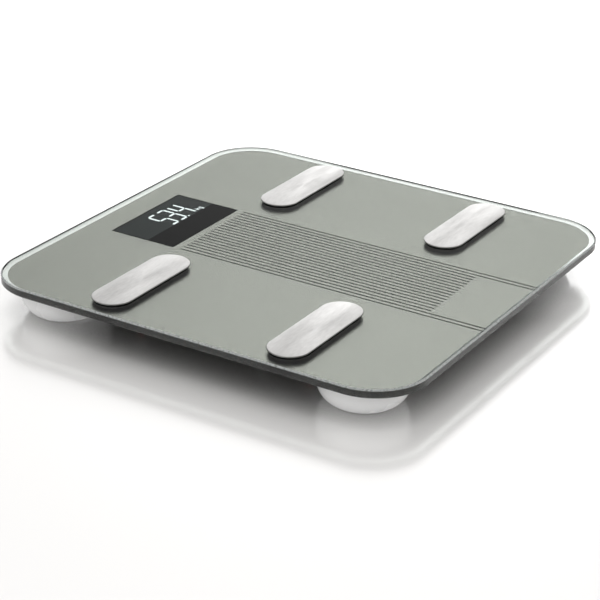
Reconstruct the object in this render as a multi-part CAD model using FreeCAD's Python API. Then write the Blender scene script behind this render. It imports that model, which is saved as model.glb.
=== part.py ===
import FreeCAD, Part
import math
import os

# Glass bathroom scale. Millimetres, +Z up, origin on the floor under the middle of the platform.
# +Y is the toe end with the display, +X is the right hand of the person who stands on it.

# --- platform -------------------------------------------------------------------------------
GLASS_WIDTH = 300.0
GLASS_LENGTH = 306.0
GLASS_THICKNESS = 6.0
GLASS_CORNER = 37.0
GLASS_CHAMFER = 0.9
STAND_HEIGHT = 20.8

# --- ink on the underside of the glass ------------------------------------------------------
INK = 0.15
CLEAR_MARGIN = 4.5
WINDOW_WIDTH = 78.0
WINDOW_LENGTH = 50.6
WINDOW_TOE_GAP = 23.4
WINDOW_BORDER = 1.0
READOUT_LENGTH = 28.4
LINE_COUNT = 20
LINE_PITCH = 3.98
LINE_WIDTH = 1.1
LINE_WINDOW_GAP = 5.2
LINE_HEEL_INSET = 55.3
LONG_LINES_EACH_SIDE = 2

# --- electrodes -----------------------------------------------------------------------------
ELECTRODE_LENGTH = 87.0
ELECTRODE_WIDTH = 27.5
ELECTRODE_PLATE = 1.0
ELECTRODE_EDGE = 0.45
ELECTRODE_SIDE_INSET = 53.0
ELECTRODE_TOE_INSET = 90.7
ELECTRODE_HEEL_INSET = 86.0
PAD_THICKNESS = 0.5
PAD_INSET = 0.5
STUD_RADIUS = 2.0
STUD_LENGTH = 11.0
STUD_CLEARANCE = 0.4
NUT_ACROSS_FLATS = 7.0
NUT_HEIGHT = 3.2
LUG_RADIUS = 4.0
LUG_THICKNESS = 0.8
LUG_BARREL_RADIUS = 1.15
LUG_BARREL_LENGTH = 6.0
LUG_NECK_WIDTH = 3.2
LUG_NECK_LENGTH = 2.0
LUG_BARREL_START = 1.0
LUG_WIRE_STOP = 1.5
END_CHAMFER = 0.4

# --- tape, mouldings and general clearances ---------------------------------------------------
TAPE = 0.4
MOVING_GAP = 0.3
FIT_GAP = 0.15
THREAD_GAP = 0.05
SCREW_GAP = 0.3
OVERLAP = 0.2
PAST = 1.0

# --- feet -------------------------------------------------------------------------------------
FOOT_SIDE_INSET = 38.0
FOOT_TOE_INSET = 41.0
FOOT_HEEL_INSET = 43.0
FOOT_TRAVEL = 0.4
CUP_RIM_RADIUS = 29.0
CUP_WAIST_RADIUS = 28.6
CUP_BOTTOM_RADIUS = 21.5
CUP_WAIST_HEIGHT = 13.5
CUP_BOTTOM_HEIGHT = 1.0
CUP_WALL = 1.8
CUP_OPENING_RADIUS = 17.6
FOOT_PAD_BASE = 0.8
FOOT_FLANGE_OVERLAP = 2.4
FOOT_FLANGE_THICKNESS = 1.6
FOOT_BOSS_RADIUS = 4.5
FOOT_RIB_THICKNESS = 1.2
FOOT_RIB_HEIGHT = 2.6
SOLE_RADIUS = 15.9
SOLE_RECESS = 0.8
SOLE_GROOVE_DEPTH = 0.5
SOLE_GROOVE_WIDTH = 1.0
SOLE_GROOVE_INNER = 6.4
SOLE_GROOVE_OUTER = 11.2
CELL_SIZE = 34.0
CELL_THICKNESS = 2.0
CELL_CORNER = 4.0
CELL_DEPTH = 4.6
CELL_SLOT = 2.2
CELL_TONGUE_WIDTH = 12.0
CELL_TONGUE_LENGTH = 20.0
CELL_SCREW_SPAN = 27.0
CELL_POST_RADIUS = 3.0
CELL_REST_GAP = 0.2
FOOT_TAPE_INSET = 1.5
FOOT_TAPE_BORE = 12.0
CABLE_REACH = 9.0
GAUGE_EDGE = 1.0
GAUGE_LENGTH = 7.0
GAUGE_WIDTH = 5.0
GAUGE_THICKNESS = 0.3

# --- small screws -----------------------------------------------------------------------------
SCREW_RADIUS = 1.1
SCREW_HEAD_RADIUS = 2.4
SCREW_HEAD_HEIGHT = 1.3
SCREW_HEAD_ROUND = 0.5
SCREW_BLIND_GAP = 0.8
SCREW_SLOT_WIDTH = 0.6
SCREW_SLOT_DEPTH = 0.6
SCREW_SLOT_REACH = 1.8

# --- electronics housing ----------------------------------------------------------------------
HOUSING_WIDTH = 132.0
HOUSING_LENGTH = 105.0
HOUSING_TOE_GAP = 13.0
HOUSING_CORNER = 9.0
HOUSING_WALL = 2.0
HOUSING_ROOF = 1.6
HOUSING_TAPE_INSET = 1.0
DISPLAY_TAPE_GAP = 1.5
HOUSING_FLOOR_GAP = 4.8
COVER_THICKNESS = 2.0
COVER_LIP = 1.2
COVER_LIP_HEIGHT = 2.0
COVER_BOSS_RADIUS = 3.4
COVER_BOSS_INSET = 7.5
COVER_MIDDLE_BOSS_SHIFT = 12.0
COVER_EDGE_ROUND = 0.8
COVER_SCREW_LENGTH = 9.0
COVER_SCREW_SINK = 1.0

# --- display module and main board --------------------------------------------------------------
CELL_GLASS_WIDTH = 82.0
CELL_GLASS_LENGTH = 36.0
CELL_GLASS_THICKNESS = 1.8
BACKLIGHT_WIDTH = 79.0
BACKLIGHT_LENGTH = 30.0
BACKLIGHT_THICKNESS = 3.0
BEZEL_WALL = 2.8
BEZEL_LEDGE = 0.85
BEZEL_LEDGE_REACH = 2.6
PIN_COUNT = 24
PIN_PITCH = 2.54
PIN_SIZE = 0.6
PIN_INSET = 1.6
PIN_FOOT_HEIGHT = 0.3
BEZEL_CORNER = 1.0
BEZEL_PIN_ROOM = 3.0
GASKET_MARGIN = 0.8
BOARD_WIDTH = 108.0
BOARD_LENGTH = 54.0
BOARD_THICKNESS = 1.6
BOARD_CORNER = 1.5
BOARD_BOSS_RADIUS = 3.0
BOARD_MARGIN = 0.5
BOARD_BOSS_MARGIN = 0.5
BOARD_HEEL_BOSS = 14.0
BOARD_TOE_BOSS = 4.0
BOARD_SCREW_GRIP = 3.0
CHIPS = ((0, -2, 12, 12, 1.6), (-17, -10, 8, 6, 1.5), (17, -12, 5, 4, 1.4), (30, -4, 7, 5, 1.5))
CRYSTAL = (20, 8, 11, 4.6, 3.4)
CAN_PLACES = ((36, 14), (-16, 14), (36, -18))
CAN_RADIUS = 2.5
CAN_HEIGHT = 4.8
SMALL_PART = (2.0, 1.2, 0.7)
SMALL_PART_COUNT = 9
SMALL_PART_START = -12.0
SMALL_PART_PITCH = 3.2
SMALL_PART_ROW = 17.0
SOCKET_HEIGHT = 3.2
SOCKET_DEPTH = 5.0
SOCKET_WIDTH = 4.8
SOCKET_WIDE = 6.4
SOCKET_EDGE_X = 1.0
SOCKET_EDGE_Y = 1.5

# --- unit button --------------------------------------------------------------------------------
BUTTON_X = -36.0
BUTTON_FROM_TOE = 45.0
BUTTON_RADIUS = 4.5
BUTTON_FLANGE_RADIUS = 6.0
BUTTON_FLANGE_THICKNESS = 1.0
BUTTON_RECESS = 0.4
BUTTON_TRAVEL = 0.5
BUTTON_EDGE = 0.6
BUTTON_STEM_RADIUS = 2.2
SWITCH_SIZE = 6.0
SWITCH_HEIGHT = 3.4
PLUNGER_RADIUS = 1.7
PLUNGER_LENGTH = 2.4
PLUNGER_GAP = 0.1
PLUNGER_STANDS_OUT = 1.0
PLUNGER_END_GAP = 0.3

# --- battery bay --------------------------------------------------------------------------------
BATTERY_COUNT = 3
BATTERY_RADIUS = 5.15
BATTERY_LENGTH = 43.7
BATTERY_NUB_RADIUS = 1.9
BATTERY_NUB_LENGTH = 0.8
BATTERY_PITCH = 11.6
BATTERY_SIDE_GAP = 0.6
SPRING_LENGTH = 6.7
SPRING_NOSE_RADIUS = 3.0
SPRING_THICKNESS = 0.4
SPRING_WIDTH = 5.0
CONTACT_PLATE = 0.4
CONTACT_SIZE = 8.0
BAY_WALL = 1.6
BAY_ROOF = 1.0
BAY_HEAD_GAP = 0.2
BAY_BOARD_GAP = 1.0
DOOR_THICKNESS = 1.8
DOOR_SIDE_LEDGE = 2.0
DOOR_BARREL_RADIUS = 1.5
DOOR_PIN_RADIUS = 0.9
DOOR_PIN_GAP = 0.08
DOOR_PIN_LENGTH = 1.2
DOOR_NECK_LENGTH = 4.5
DOOR_SHUT_GAP = 0.2
DOOR_SWING_ROOM = 0.5
LATCH_HALF_WIDTH = 7.0
LATCH_SLOT = 1.0
LATCH_LENGTH = 9.0
GRIP_COUNT = 4
GRIP_PITCH = 1.6
GRIP_WIDTH = 0.7
GRIP_DEPTH = 0.5
GRIP_HALF_LENGTH = 5.5
GRIP_START = 1.2

# --- wiring --------------------------------------------------------------------------------------
CABLE_RADIUS = 1.3
CABLE_BEND_SHARE = 0.45
WIRE_RADIUS = 0.7
WIRE_HOLE_GAP = 0.3
CLIP_LENGTH = 7.0
CLIP_WIDTH = 6.4
CLIP_HEIGHT = 3.3
CLIP_CHAMFER = 0.8
CLIP_GAP = 0.1
CLIP_SKIN = 0.1
UNDER_INK_GAP = 0.25
WIRING_ABOVE_BOARD = 1.6
HEEL_CABLE_X = 44.0
HEEL_WIRE_X = 37.0
TOE_WIRE_INSET = 4.0
STUD_LANE = 12.0
LUG_LEAN = 1.26
WALL_APPROACH = 12.0
WIRE_APPROACH = 14.0
CUP_EXIT_RUN = 4.0
HEEL_CABLE_BENDS = ((0.30, 0.42), (0.78, 0.76))
HEEL_WIRE_BENDS = ((0.35, 0.32), (0.80, 0.68))
TOE_WIRE_TURN = (10.0, 3.5, 1.0)
TOE_WIRE_RUN = 2.0

# --- levels and lines worked out from the sizes above ----------------------------------------------
UNDERSIDE = STAND_HEIGHT
GLASS_TOP = UNDERSIDE + GLASS_THICKNESS
INK_BOTTOM = UNDERSIDE - INK
TAPE_BOTTOM = INK_BOTTOM - TAPE

GLASS_TOE = GLASS_LENGTH / 2
WINDOW_TOE = GLASS_TOE - WINDOW_TOE_GAP
WINDOW_HEEL = WINDOW_TOE - WINDOW_LENGTH
READOUT_TOE = WINDOW_TOE - WINDOW_BORDER
READOUT_HEEL = READOUT_TOE - READOUT_LENGTH
READOUT_MIDDLE = (READOUT_TOE + READOUT_HEEL) / 2
READOUT_WIDTH = WINDOW_WIDTH - 2 * WINDOW_BORDER

LINE_TOE = WINDOW_HEEL - LINE_WINDOW_GAP
LINE_HEEL = LINE_HEEL_INSET - GLASS_TOE

ELECTRODE_X = GLASS_WIDTH / 2 - ELECTRODE_SIDE_INSET
ELECTRODE_TOE_Y = GLASS_TOE - ELECTRODE_TOE_INSET
ELECTRODE_HEEL_Y = ELECTRODE_HEEL_INSET - GLASS_TOE
STUD_BORE = STUD_RADIUS + STUD_CLEARANCE
PAD_TOP = GLASS_TOP + PAD_THICKNESS
ELECTRODE_TOP = PAD_TOP + ELECTRODE_PLATE

HOUSING_TOE = GLASS_TOE - HOUSING_TOE_GAP
HOUSING_HEEL = HOUSING_TOE - HOUSING_LENGTH
HOUSING_MIDDLE = (HOUSING_TOE + HOUSING_HEEL) / 2
ROOF_UNDERSIDE = TAPE_BOTTOM - HOUSING_ROOF
COVER_TOP = HOUSING_FLOOR_GAP + COVER_THICKNESS

CELL_GLASS_BOTTOM = TAPE_BOTTOM - CELL_GLASS_THICKNESS
BACKLIGHT_BOTTOM = CELL_GLASS_BOTTOM - BACKLIGHT_THICKNESS
BOARD_TOP = BACKLIGHT_BOTTOM - BEZEL_LEDGE
BOARD_BOTTOM = BOARD_TOP - BOARD_THICKNESS
BEZEL_WIDTH = CELL_GLASS_WIDTH + 2 * FIT_GAP + 2 * BEZEL_WALL
BEZEL_LENGTH = CELL_GLASS_LENGTH + 2 * FIT_GAP + 2 * BEZEL_WALL
BOARD_TOE = HOUSING_TOE - HOUSING_WALL - COVER_LIP - 2 * FIT_GAP - BOARD_MARGIN
BOARD_HEEL = BOARD_TOE - BOARD_LENGTH
BOARD_MIDDLE = (BOARD_TOE + BOARD_HEEL) / 2

BUTTON_Y = GLASS_TOE - BUTTON_FROM_TOE
SWITCH_BOTTOM = BOARD_BOTTOM - SWITCH_HEIGHT

DOOR_TOP = HOUSING_FLOOR_GAP + DOOR_THICKNESS
BATTERY_AXIS_Z = DOOR_TOP + MOVING_GAP + BATTERY_RADIUS
BAY_CEILING = BATTERY_AXIS_Z + BATTERY_RADIUS + BAY_HEAD_GAP
BAY_INNER_X = (BATTERY_LENGTH + BATTERY_NUB_LENGTH + SPRING_LENGTH) / 2 + CONTACT_PLATE
BAY_TOE = BOARD_HEEL - BAY_BOARD_GAP - BAY_WALL
BARREL_ZONE = 2 * DOOR_BARREL_RADIUS + 2 * MOVING_GAP
BAY_LENGTH = (BATTERY_COUNT - 1) * BATTERY_PITCH + 2 * BATTERY_RADIUS + 2 * BATTERY_SIDE_GAP + BARREL_ZONE
BAY_HEEL = BAY_TOE - BAY_LENGTH
FIRST_BATTERY_Y = BAY_TOE - BATTERY_SIDE_GAP - BATTERY_RADIUS
HINGE_Y = BAY_HEEL + MOVING_GAP + DOOR_BARREL_RADIUS
HINGE_Z = HOUSING_FLOOR_GAP + DOOR_BARREL_RADIUS

FOOT_X = GLASS_WIDTH / 2 - FOOT_SIDE_INSET
FOOT_TOE_Y = GLASS_TOE - FOOT_TOE_INSET
FOOT_HEEL_Y = FOOT_HEEL_INSET - GLASS_TOE
CUP_LIP_TOP = CUP_BOTTOM_HEIGHT + CUP_WALL
CUP_ROOF = TAPE_BOTTOM - CUP_WALL
CELL_TOP = CUP_ROOF - CELL_DEPTH
CELL_BOTTOM = CELL_TOP - CELL_THICKNESS
FLANGE_BOTTOM = CUP_LIP_TOP + MOVING_GAP
FLANGE_TOP = FLANGE_BOTTOM + FOOT_FLANGE_THICKNESS
FOOT_BODY_RADIUS = CUP_OPENING_RADIUS - MOVING_GAP
FOOT_BOSS_TOP = CELL_BOTTOM - FOOT_TRAVEL - CELL_REST_GAP

WIRING_Z = BOARD_TOP + WIRING_ABOVE_BOARD
CABLE_Z = INK_BOTTOM - UNDER_INK_GAP - CABLE_RADIUS
LUG_AXIS_Z = INK_BOTTOM - UNDER_INK_GAP - LUG_BARREL_RADIUS
TOE_WIRE_Y = BOARD_HEEL + TOE_WIRE_INSET

SIDES = (("left", -1), ("right", 1))
FEET = [("toe_" + side, sign * FOOT_X, FOOT_TOE_Y) for side, sign in SIDES]
FEET += [("heel_" + side, sign * FOOT_X, FOOT_HEEL_Y) for side, sign in SIDES]
ELECTRODES = [("toe_" + side, sign * ELECTRODE_X, ELECTRODE_TOE_Y) for side, sign in SIDES]
ELECTRODES += [("heel_" + side, sign * ELECTRODE_X, ELECTRODE_HEEL_Y) for side, sign in SIDES]


def vec(x, y, z=0.0):
    return FreeCAD.Vector(x, y, z)


def block(x0, x1, y0, y1, z0, z1):
    """A box between two corners."""
    return Part.makeBox(x1 - x0, y1 - y0, z1 - z0, vec(x0, y0, z0))


def disc(x, y, radius, z0, z1):
    """An upright cylinder."""
    return Part.makeCylinder(radius, z1 - z0, vec(x, y, z0))


def rod_x(x0, x1, y, z, radius):
    """A cylinder that lies along X."""
    return Part.makeCylinder(radius, x1 - x0, vec(x0, y, z), vec(1, 0, 0))


def rounded_plate(cx, cy, width, length, radius, z0, z1):
    """A flat plate with four round corners, or two round ends where the radius is half a side."""
    hx, hy = width / 2, length / 2
    corners = ((1, 1, 0), (-1, 1, 90), (-1, -1, 180), (1, -1, 270))
    arcs = []
    for sx, sy, start in corners:
        centre = vec(cx + sx * (hx - radius), cy + sy * (hy - radius), z0)
        points = []
        for turn in (0, 45, 90):
            angle = math.radians(start + turn)
            points.append(centre + vec(radius * math.cos(angle), radius * math.sin(angle)))
        arcs.append(points)
    edges = []
    for index, points in enumerate(arcs):
        edges.append(Part.Arc(*points).toShape())
        following = arcs[(index + 1) % 4][0]
        if points[2].distanceToPoint(following) > 1e-6:
            edges.append(Part.LineSegment(points[2], following).toShape())
    face = Part.Face(Part.Wire(edges))
    return face.extrude(vec(0, 0, z1 - z0))


def fuse(shapes):
    """One solid from touching shapes."""
    joined = shapes[0]
    for shape in shapes[1:]:
        joined = joined.fuse(shape)
    return joined.removeSplitter()


def cut(shape, tools):
    """A shape less every tool."""
    for tool in tools:
        shape = shape.cut(tool)
    return shape


def flat_edges(shape, level, least_length):
    """The long edges that lie at one height."""
    found = []
    for edge in shape.Edges:
        box = edge.BoundBox
        at_level = abs(box.ZMin - level) < 1e-6 and abs(box.ZMax - level) < 1e-6
        if at_level and edge.Length > least_length:
            found.append(edge)
    return found


def save(name, shapes):
    """Write one sub-part, of one solid or of several like ones."""
    if isinstance(shapes, (list, tuple)):
        shape = Part.makeCompound([solid for item in shapes for solid in item.Solids])
    else:
        shape = shapes
    for solid in shape.Solids:
        if not solid.isValid() or solid.Volume <= 0:
            print("check", name, solid.isValid(), solid.Volume)
    shape.exportStep("parts/" + name + ".step")


def cable_between(points, radius):
    """A round cable: straight runs joined by tangent arcs as large as the runs allow."""
    starts = [points[0]]
    edges = []
    for index in range(1, len(points) - 1):
        before, corner, after = points[index - 1], points[index], points[index + 1]
        back = (before - corner).normalize()
        ahead = (after - corner).normalize()
        reach = CABLE_BEND_SHARE * min(before.distanceToPoint(corner), after.distanceToPoint(corner))
        half_turn = (math.pi - back.getAngle(ahead)) / 2
        bend = reach / math.tan(half_turn)
        arc_start = corner + back * reach
        arc_end = corner + ahead * reach
        inward = (back + ahead).normalize()
        middle = corner + inward * (bend / math.cos(half_turn) - bend)
        edges.append(Part.LineSegment(starts[-1], arc_start).toShape())
        edges.append(Part.Arc(arc_start, middle, arc_end).toShape())
        starts.append(arc_end)
    edges.append(Part.LineSegment(starts[-1], points[-1]).toShape())
    path = Part.Wire(edges)
    along = points[1] - points[0]
    section = Part.Wire(Part.makeCircle(radius, points[0], along))
    return path.makePipeShell([section], True, False)


def screw_up(x, y, seat, length):
    """A pan-head screw driven upwards, its head under the seat and a slot across it."""
    head = disc(x, y, SCREW_HEAD_RADIUS, seat - SCREW_HEAD_HEIGHT, seat)
    head = head.makeFillet(SCREW_HEAD_ROUND, flat_edges(head, seat - SCREW_HEAD_HEIGHT, 1.0))
    shank = disc(x, y, SCREW_RADIUS, seat - OVERLAP, seat + length)
    shank = shank.makeChamfer(END_CHAMFER, flat_edges(shank, seat + length, 1.0))
    base = seat - SCREW_HEAD_HEIGHT
    half = SCREW_SLOT_WIDTH / 2
    reach = SCREW_SLOT_REACH
    slots = [block(x - reach, x + reach, y - half, y + half, base, base + SCREW_SLOT_DEPTH)]
    slots.append(block(x - half, x + half, y - reach, y + reach, base, base + SCREW_SLOT_DEPTH))
    return cut(fuse([head, shank]), slots)


# === glass platform and its ink ====================================================================
def line_strips(z0, z1):
    """The printed rules: most stop short of the heel edge, the outer pairs run on to it."""
    strips = []
    first = -(LINE_COUNT - 1) * LINE_PITCH / 2
    half = LINE_WIDTH / 2
    for index in range(LINE_COUNT):
        x = first + index * LINE_PITCH
        outer = index < LONG_LINES_EACH_SIDE or index >= LINE_COUNT - LONG_LINES_EACH_SIDE
        heel = -GLASS_LENGTH / 2 + GLASS_CHAMFER if outer else LINE_HEEL
        strips.append(block(x - half, x + half, heel, LINE_TOE, z0, z1))
    return strips


def make_platform():
    """The tempered plate with its stud bores, and the three layers of ink on its underside."""
    glass = rounded_plate(0, 0, GLASS_WIDTH, GLASS_LENGTH, GLASS_CORNER, UNDERSIDE, GLASS_TOP)
    rims = flat_edges(glass, UNDERSIDE, 1.0) + flat_edges(glass, GLASS_TOP, 1.0)
    glass = glass.makeChamfer(GLASS_CHAMFER, rims)
    bores = [disc(x, y, STUD_BORE, UNDERSIDE - PAST, GLASS_TOP + PAST) for _, x, y in ELECTRODES]
    save("glass_platform", cut(glass, bores))

    ink_width = GLASS_WIDTH - 2 * CLEAR_MARGIN
    ink_length = GLASS_LENGTH - 2 * CLEAR_MARGIN
    ink_corner = GLASS_CORNER - CLEAR_MARGIN
    colour = rounded_plate(0, 0, ink_width, ink_length, ink_corner, INK_BOTTOM, UNDERSIDE)
    below, above = INK_BOTTOM - PAST, UNDERSIDE + PAST
    half = WINDOW_WIDTH / 2
    window = block(-half, half, WINDOW_HEEL, WINDOW_TOE, below, above)
    save("back_ink", cut(colour, [window] + bores + line_strips(below, above)))
    save("ruled_lines", line_strips(INK_BOTTOM, UNDERSIDE))

    mask = block(-half, half, WINDOW_HEEL, WINDOW_TOE, INK_BOTTOM, UNDERSIDE)
    half_readout = READOUT_WIDTH / 2
    opening = block(-half_readout, half_readout, READOUT_HEEL, READOUT_TOE, below, above)
    save("window_mask", mask.cut(opening))


# === electrodes ==============================================================================
def stadium(x, y, inset, z0, z1):
    """The electrode's round-ended outline, drawn in by an inset."""
    length = ELECTRODE_LENGTH - 2 * inset
    width = ELECTRODE_WIDTH - 2 * inset
    return rounded_plate(x, y, length, width, width / 2, z0, z1)


def hex_nut(x, y, top):
    """A hexagon nut under a face, its bore just clear of the stud."""
    reach = NUT_ACROSS_FLATS / math.sqrt(3)
    corners = []
    for index in range(7):
        angle = math.radians(60 * index)
        corners.append(vec(x + reach * math.cos(angle), y + reach * math.sin(angle), top))
    nut = Part.Face(Part.makePolygon(corners)).extrude(vec(0, 0, -NUT_HEIGHT))
    return nut.cut(disc(x, y, STUD_RADIUS + THREAD_GAP, top - NUT_HEIGHT - PAST, top + PAST))


def ring_lug(x, y):
    """A crimp lug: a ring on the stud and a barrel that grips the wire."""
    bottom = INK_BOTTOM - LUG_THICKNESS
    half = LUG_NECK_WIDTH / 2
    barrel_start = LUG_RADIUS + LUG_BARREL_START
    neck = block(0, LUG_RADIUS + LUG_NECK_LENGTH, -half, half, bottom, INK_BOTTOM)
    barrel = rod_x(barrel_start, barrel_start + LUG_BARREL_LENGTH, 0, LUG_AXIS_Z, LUG_BARREL_RADIUS)
    wire_start = barrel_start + LUG_WIRE_STOP
    wire_room = rod_x(wire_start, wire_start + LUG_BARREL_LENGTH, 0, LUG_AXIS_Z, WIRE_RADIUS + THREAD_GAP)
    tail = fuse([neck, barrel]).cut(wire_room)
    way = lug_direction(x)
    tail.rotate(vec(0, 0), vec(0, 0, 1), math.degrees(math.atan2(way.y, way.x)))
    tail.translate(vec(x, y))
    lug = fuse([disc(x, y, LUG_RADIUS, bottom, INK_BOTTOM), tail])
    return lug.cut(disc(x, y, STUD_RADIUS + THREAD_GAP, bottom - PAST, INK_BOTTOM + PAST))


def make_electrodes():
    """Four steel plates on foam pads, each held through the glass by a stud, a lug and a nut."""
    pads, studs, nuts, lugs = [], [], [], []
    for name, x, y in ELECTRODES:
        plate = stadium(x, y, 0.0, PAD_TOP, ELECTRODE_TOP)
        plate = plate.makeFillet(ELECTRODE_EDGE, flat_edges(plate, ELECTRODE_TOP, 1.0))
        save("electrode_" + name, plate)
        pad = stadium(x, y, PAD_INSET, GLASS_TOP, PAD_TOP)
        pads.append(pad.cut(disc(x, y, STUD_BORE, GLASS_TOP - PAST, PAD_TOP + PAST)))
        stud_end = PAD_TOP - STUD_LENGTH
        stud = disc(x, y, STUD_RADIUS, stud_end, PAD_TOP)
        studs.append(stud.makeChamfer(END_CHAMFER, flat_edges(stud, stud_end, 1.0)))
        nuts.append(hex_nut(x, y, INK_BOTTOM - LUG_THICKNESS))
        lugs.append(ring_lug(x, y))
    save("electrode_pads", pads)
    save("electrode_studs", studs)
    save("electrode_nuts", nuts)
    save("electrode_lugs", lugs)


# === feet ====================================================================================
def cup_profile(inset):
    """The outline of the foot cup from rim to bottom: a drafted band, then one arc."""
    rim = vec(CUP_RIM_RADIUS - inset, 0, TAPE_BOTTOM)
    waist = vec(CUP_WAIST_RADIUS - inset, 0, CUP_WAIST_HEIGHT)
    drop = CUP_WAIST_HEIGHT - CUP_BOTTOM_HEIGHT
    step = CUP_WAIST_RADIUS - CUP_BOTTOM_RADIUS
    bend = (step * step + drop * drop) / (2 * step)
    centre = vec(CUP_WAIST_RADIUS - bend, 0, CUP_WAIST_HEIGHT)
    radius = bend - inset
    sweep = math.asin((drop - inset) / radius)
    points = [waist]
    for share in (0.5, 1.0):
        angle = sweep * share
        points.append(centre + vec(radius * math.cos(angle), 0, -radius * math.sin(angle)))
    return rim, points


def cup_solid(inset, top):
    """The full round body inside that outline, from its bottom up to a given height."""
    rim, (waist, middle, low) = cup_profile(inset)
    rim = vec(rim.x, 0, top)
    axis_low = vec(0, 0, low.z)
    axis_top = vec(0, 0, top)
    edges = [Part.LineSegment(axis_top, rim).toShape()]
    edges.append(Part.LineSegment(rim, waist).toShape())
    edges.append(Part.Arc(waist, middle, low).toShape())
    edges.append(Part.LineSegment(low, axis_low).toShape())
    edges.append(Part.LineSegment(axis_low, axis_top).toShape())
    return Part.Face(Part.Wire(edges)).revolve(vec(0, 0), vec(0, 0, 1), 360)


def cell_posts():
    """Where the four posts of a cup hold its load cell, from the foot's own axis."""
    half = CELL_SCREW_SPAN / 2
    return [(sx * half, sy * half) for sx in (-1, 1) for sy in (-1, 1)]


def foot_cup(way):
    """The moulded cup: a bowl with an open bottom, four posts and a hole for the cable."""
    cup = cup_solid(0.0, TAPE_BOTTOM).cut(cup_solid(CUP_WALL, CUP_ROOF))
    cup = cup.cut(disc(0, 0, CUP_OPENING_RADIUS, CUP_BOTTOM_HEIGHT - PAST, CUP_LIP_TOP + PAST))
    posts = [disc(x, y, CELL_POST_RADIUS, CELL_TOP, CUP_ROOF + OVERLAP) for x, y in cell_posts()]
    cup = fuse([cup] + posts)
    pilots = [disc(x, y, SCREW_RADIUS + THREAD_GAP, CELL_TOP - PAST, CUP_ROOF) for x, y in cell_posts()]
    hole_start = vec(0, 0, WIRING_Z) + way * (CUP_RIM_RADIUS / 2)
    exit_hole = Part.makeCylinder(CABLE_RADIUS + WIRE_HOLE_GAP, CUP_RIM_RADIUS, hole_start, way)
    return cut(cup, pilots + [exit_hole])


def load_cell():
    """A half-bridge load cell: a steel plate whose U-shaped slot frees a tongue in its middle."""
    below, above = CELL_BOTTOM - PAST, CELL_TOP + PAST
    cell = rounded_plate(0, 0, CELL_SIZE, CELL_SIZE, CELL_CORNER, CELL_BOTTOM, CELL_TOP)
    half = CELL_TONGUE_WIDTH / 2
    wide = half + CELL_SLOT
    reach = CELL_TONGUE_LENGTH / 2
    slots = [block(half, wide, -reach, reach, below, above)]
    slots.append(block(-wide, -half, -reach, reach, below, above))
    slots.append(block(-wide, wide, reach - CELL_SLOT, reach, below, above))
    slots += [disc(x, y, SCREW_RADIUS + SCREW_GAP, below, above) for x, y in cell_posts()]
    return cut(cell, slots)


def foot_pad():
    """The moving foot: a disc caught behind the cup's lip, ribs, and a boss under the tongue."""
    rib_base = FLANGE_TOP - OVERLAP
    rib_top = FLANGE_TOP + FOOT_RIB_HEIGHT
    half = FOOT_RIB_THICKNESS / 2
    reach = FOOT_BODY_RADIUS
    pad = fuse([
        disc(0, 0, FOOT_BODY_RADIUS, FOOT_PAD_BASE, FLANGE_BOTTOM + OVERLAP),
        disc(0, 0, CUP_OPENING_RADIUS + FOOT_FLANGE_OVERLAP, FLANGE_BOTTOM, FLANGE_TOP),
        disc(0, 0, FOOT_BOSS_RADIUS, rib_base, FOOT_BOSS_TOP),
        block(-reach, reach, -half, half, rib_base, rib_top),
        block(-half, half, -reach, reach, rib_base, rib_top),
    ])
    recess_top = FOOT_PAD_BASE + SOLE_RECESS
    return pad.cut(disc(0, 0, SOLE_RADIUS + FIT_GAP, FOOT_PAD_BASE - PAST, recess_top))


def foot_sole():
    """The rubber sole with two ring grooves."""
    sole = disc(0, 0, SOLE_RADIUS, 0, FOOT_PAD_BASE + SOLE_RECESS)
    half = SOLE_GROOVE_WIDTH / 2
    for groove in (SOLE_GROOVE_INNER, SOLE_GROOVE_OUTER):
        ring = disc(0, 0, groove + half, -PAST, SOLE_GROOVE_DEPTH)
        sole = sole.cut(ring.cut(disc(0, 0, groove - half, -2 * PAST, PAST)))
    return sole


def make_feet():
    """Four feet: cup, load cell with its gauge and screws, moving pad and sole, and tape."""
    tapes, gauges, screws = [], [], []
    half_gauge = GAUGE_LENGTH / 2
    screw_length = CELL_THICKNESS + CELL_DEPTH - SCREW_BLIND_GAP
    for name, x, y in FEET:
        pieces = (("foot_cup_", foot_cup(foot_way(x, y))), ("load_cell_", load_cell()),
                  ("foot_pad_", foot_pad()), ("foot_sole_", foot_sole()))
        for kind, piece in pieces:
            piece.translate(vec(x, y))
            save(kind + name, piece)
        ring = disc(x, y, CUP_RIM_RADIUS - FOOT_TAPE_INSET, TAPE_BOTTOM, INK_BOTTOM)
        tapes.append(ring.cut(disc(x, y, FOOT_TAPE_BORE, TAPE_BOTTOM - PAST, INK_BOTTOM + PAST)))
        root = y - CELL_TONGUE_LENGTH / 2 + GAUGE_EDGE
        top = CELL_TOP + GAUGE_THICKNESS
        gauges.append(block(x - half_gauge, x + half_gauge, root, root + GAUGE_WIDTH, CELL_TOP, top))
        screws += [screw_up(x + px, y + py, CELL_BOTTOM, screw_length) for px, py in cell_posts()]
    save("foot_tapes", tapes)
    save("strain_gauges", gauges)
    save("load_cell_screws", screws)


# === electronics housing ==============================================================================
def cover_boss_places():
    x = HOUSING_WIDTH / 2 - COVER_BOSS_INSET
    heel = HOUSING_HEEL + COVER_BOSS_INSET
    toe = HOUSING_TOE - COVER_BOSS_INSET
    middle = (heel + toe) / 2 - COVER_MIDDLE_BOSS_SHIFT
    return [(sign * x, y) for sign in (-1, 1) for y in (heel, middle, toe)]


def board_boss_places():
    x = BOARD_WIDTH / 2 - BOARD_BOSS_RADIUS - BOARD_BOSS_MARGIN
    rows = (BOARD_HEEL + BOARD_HEEL_BOSS, BOARD_TOE - BOARD_TOE_BOSS)
    return [(sign * x, y) for sign in (-1, 1) for y in rows]


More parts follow.
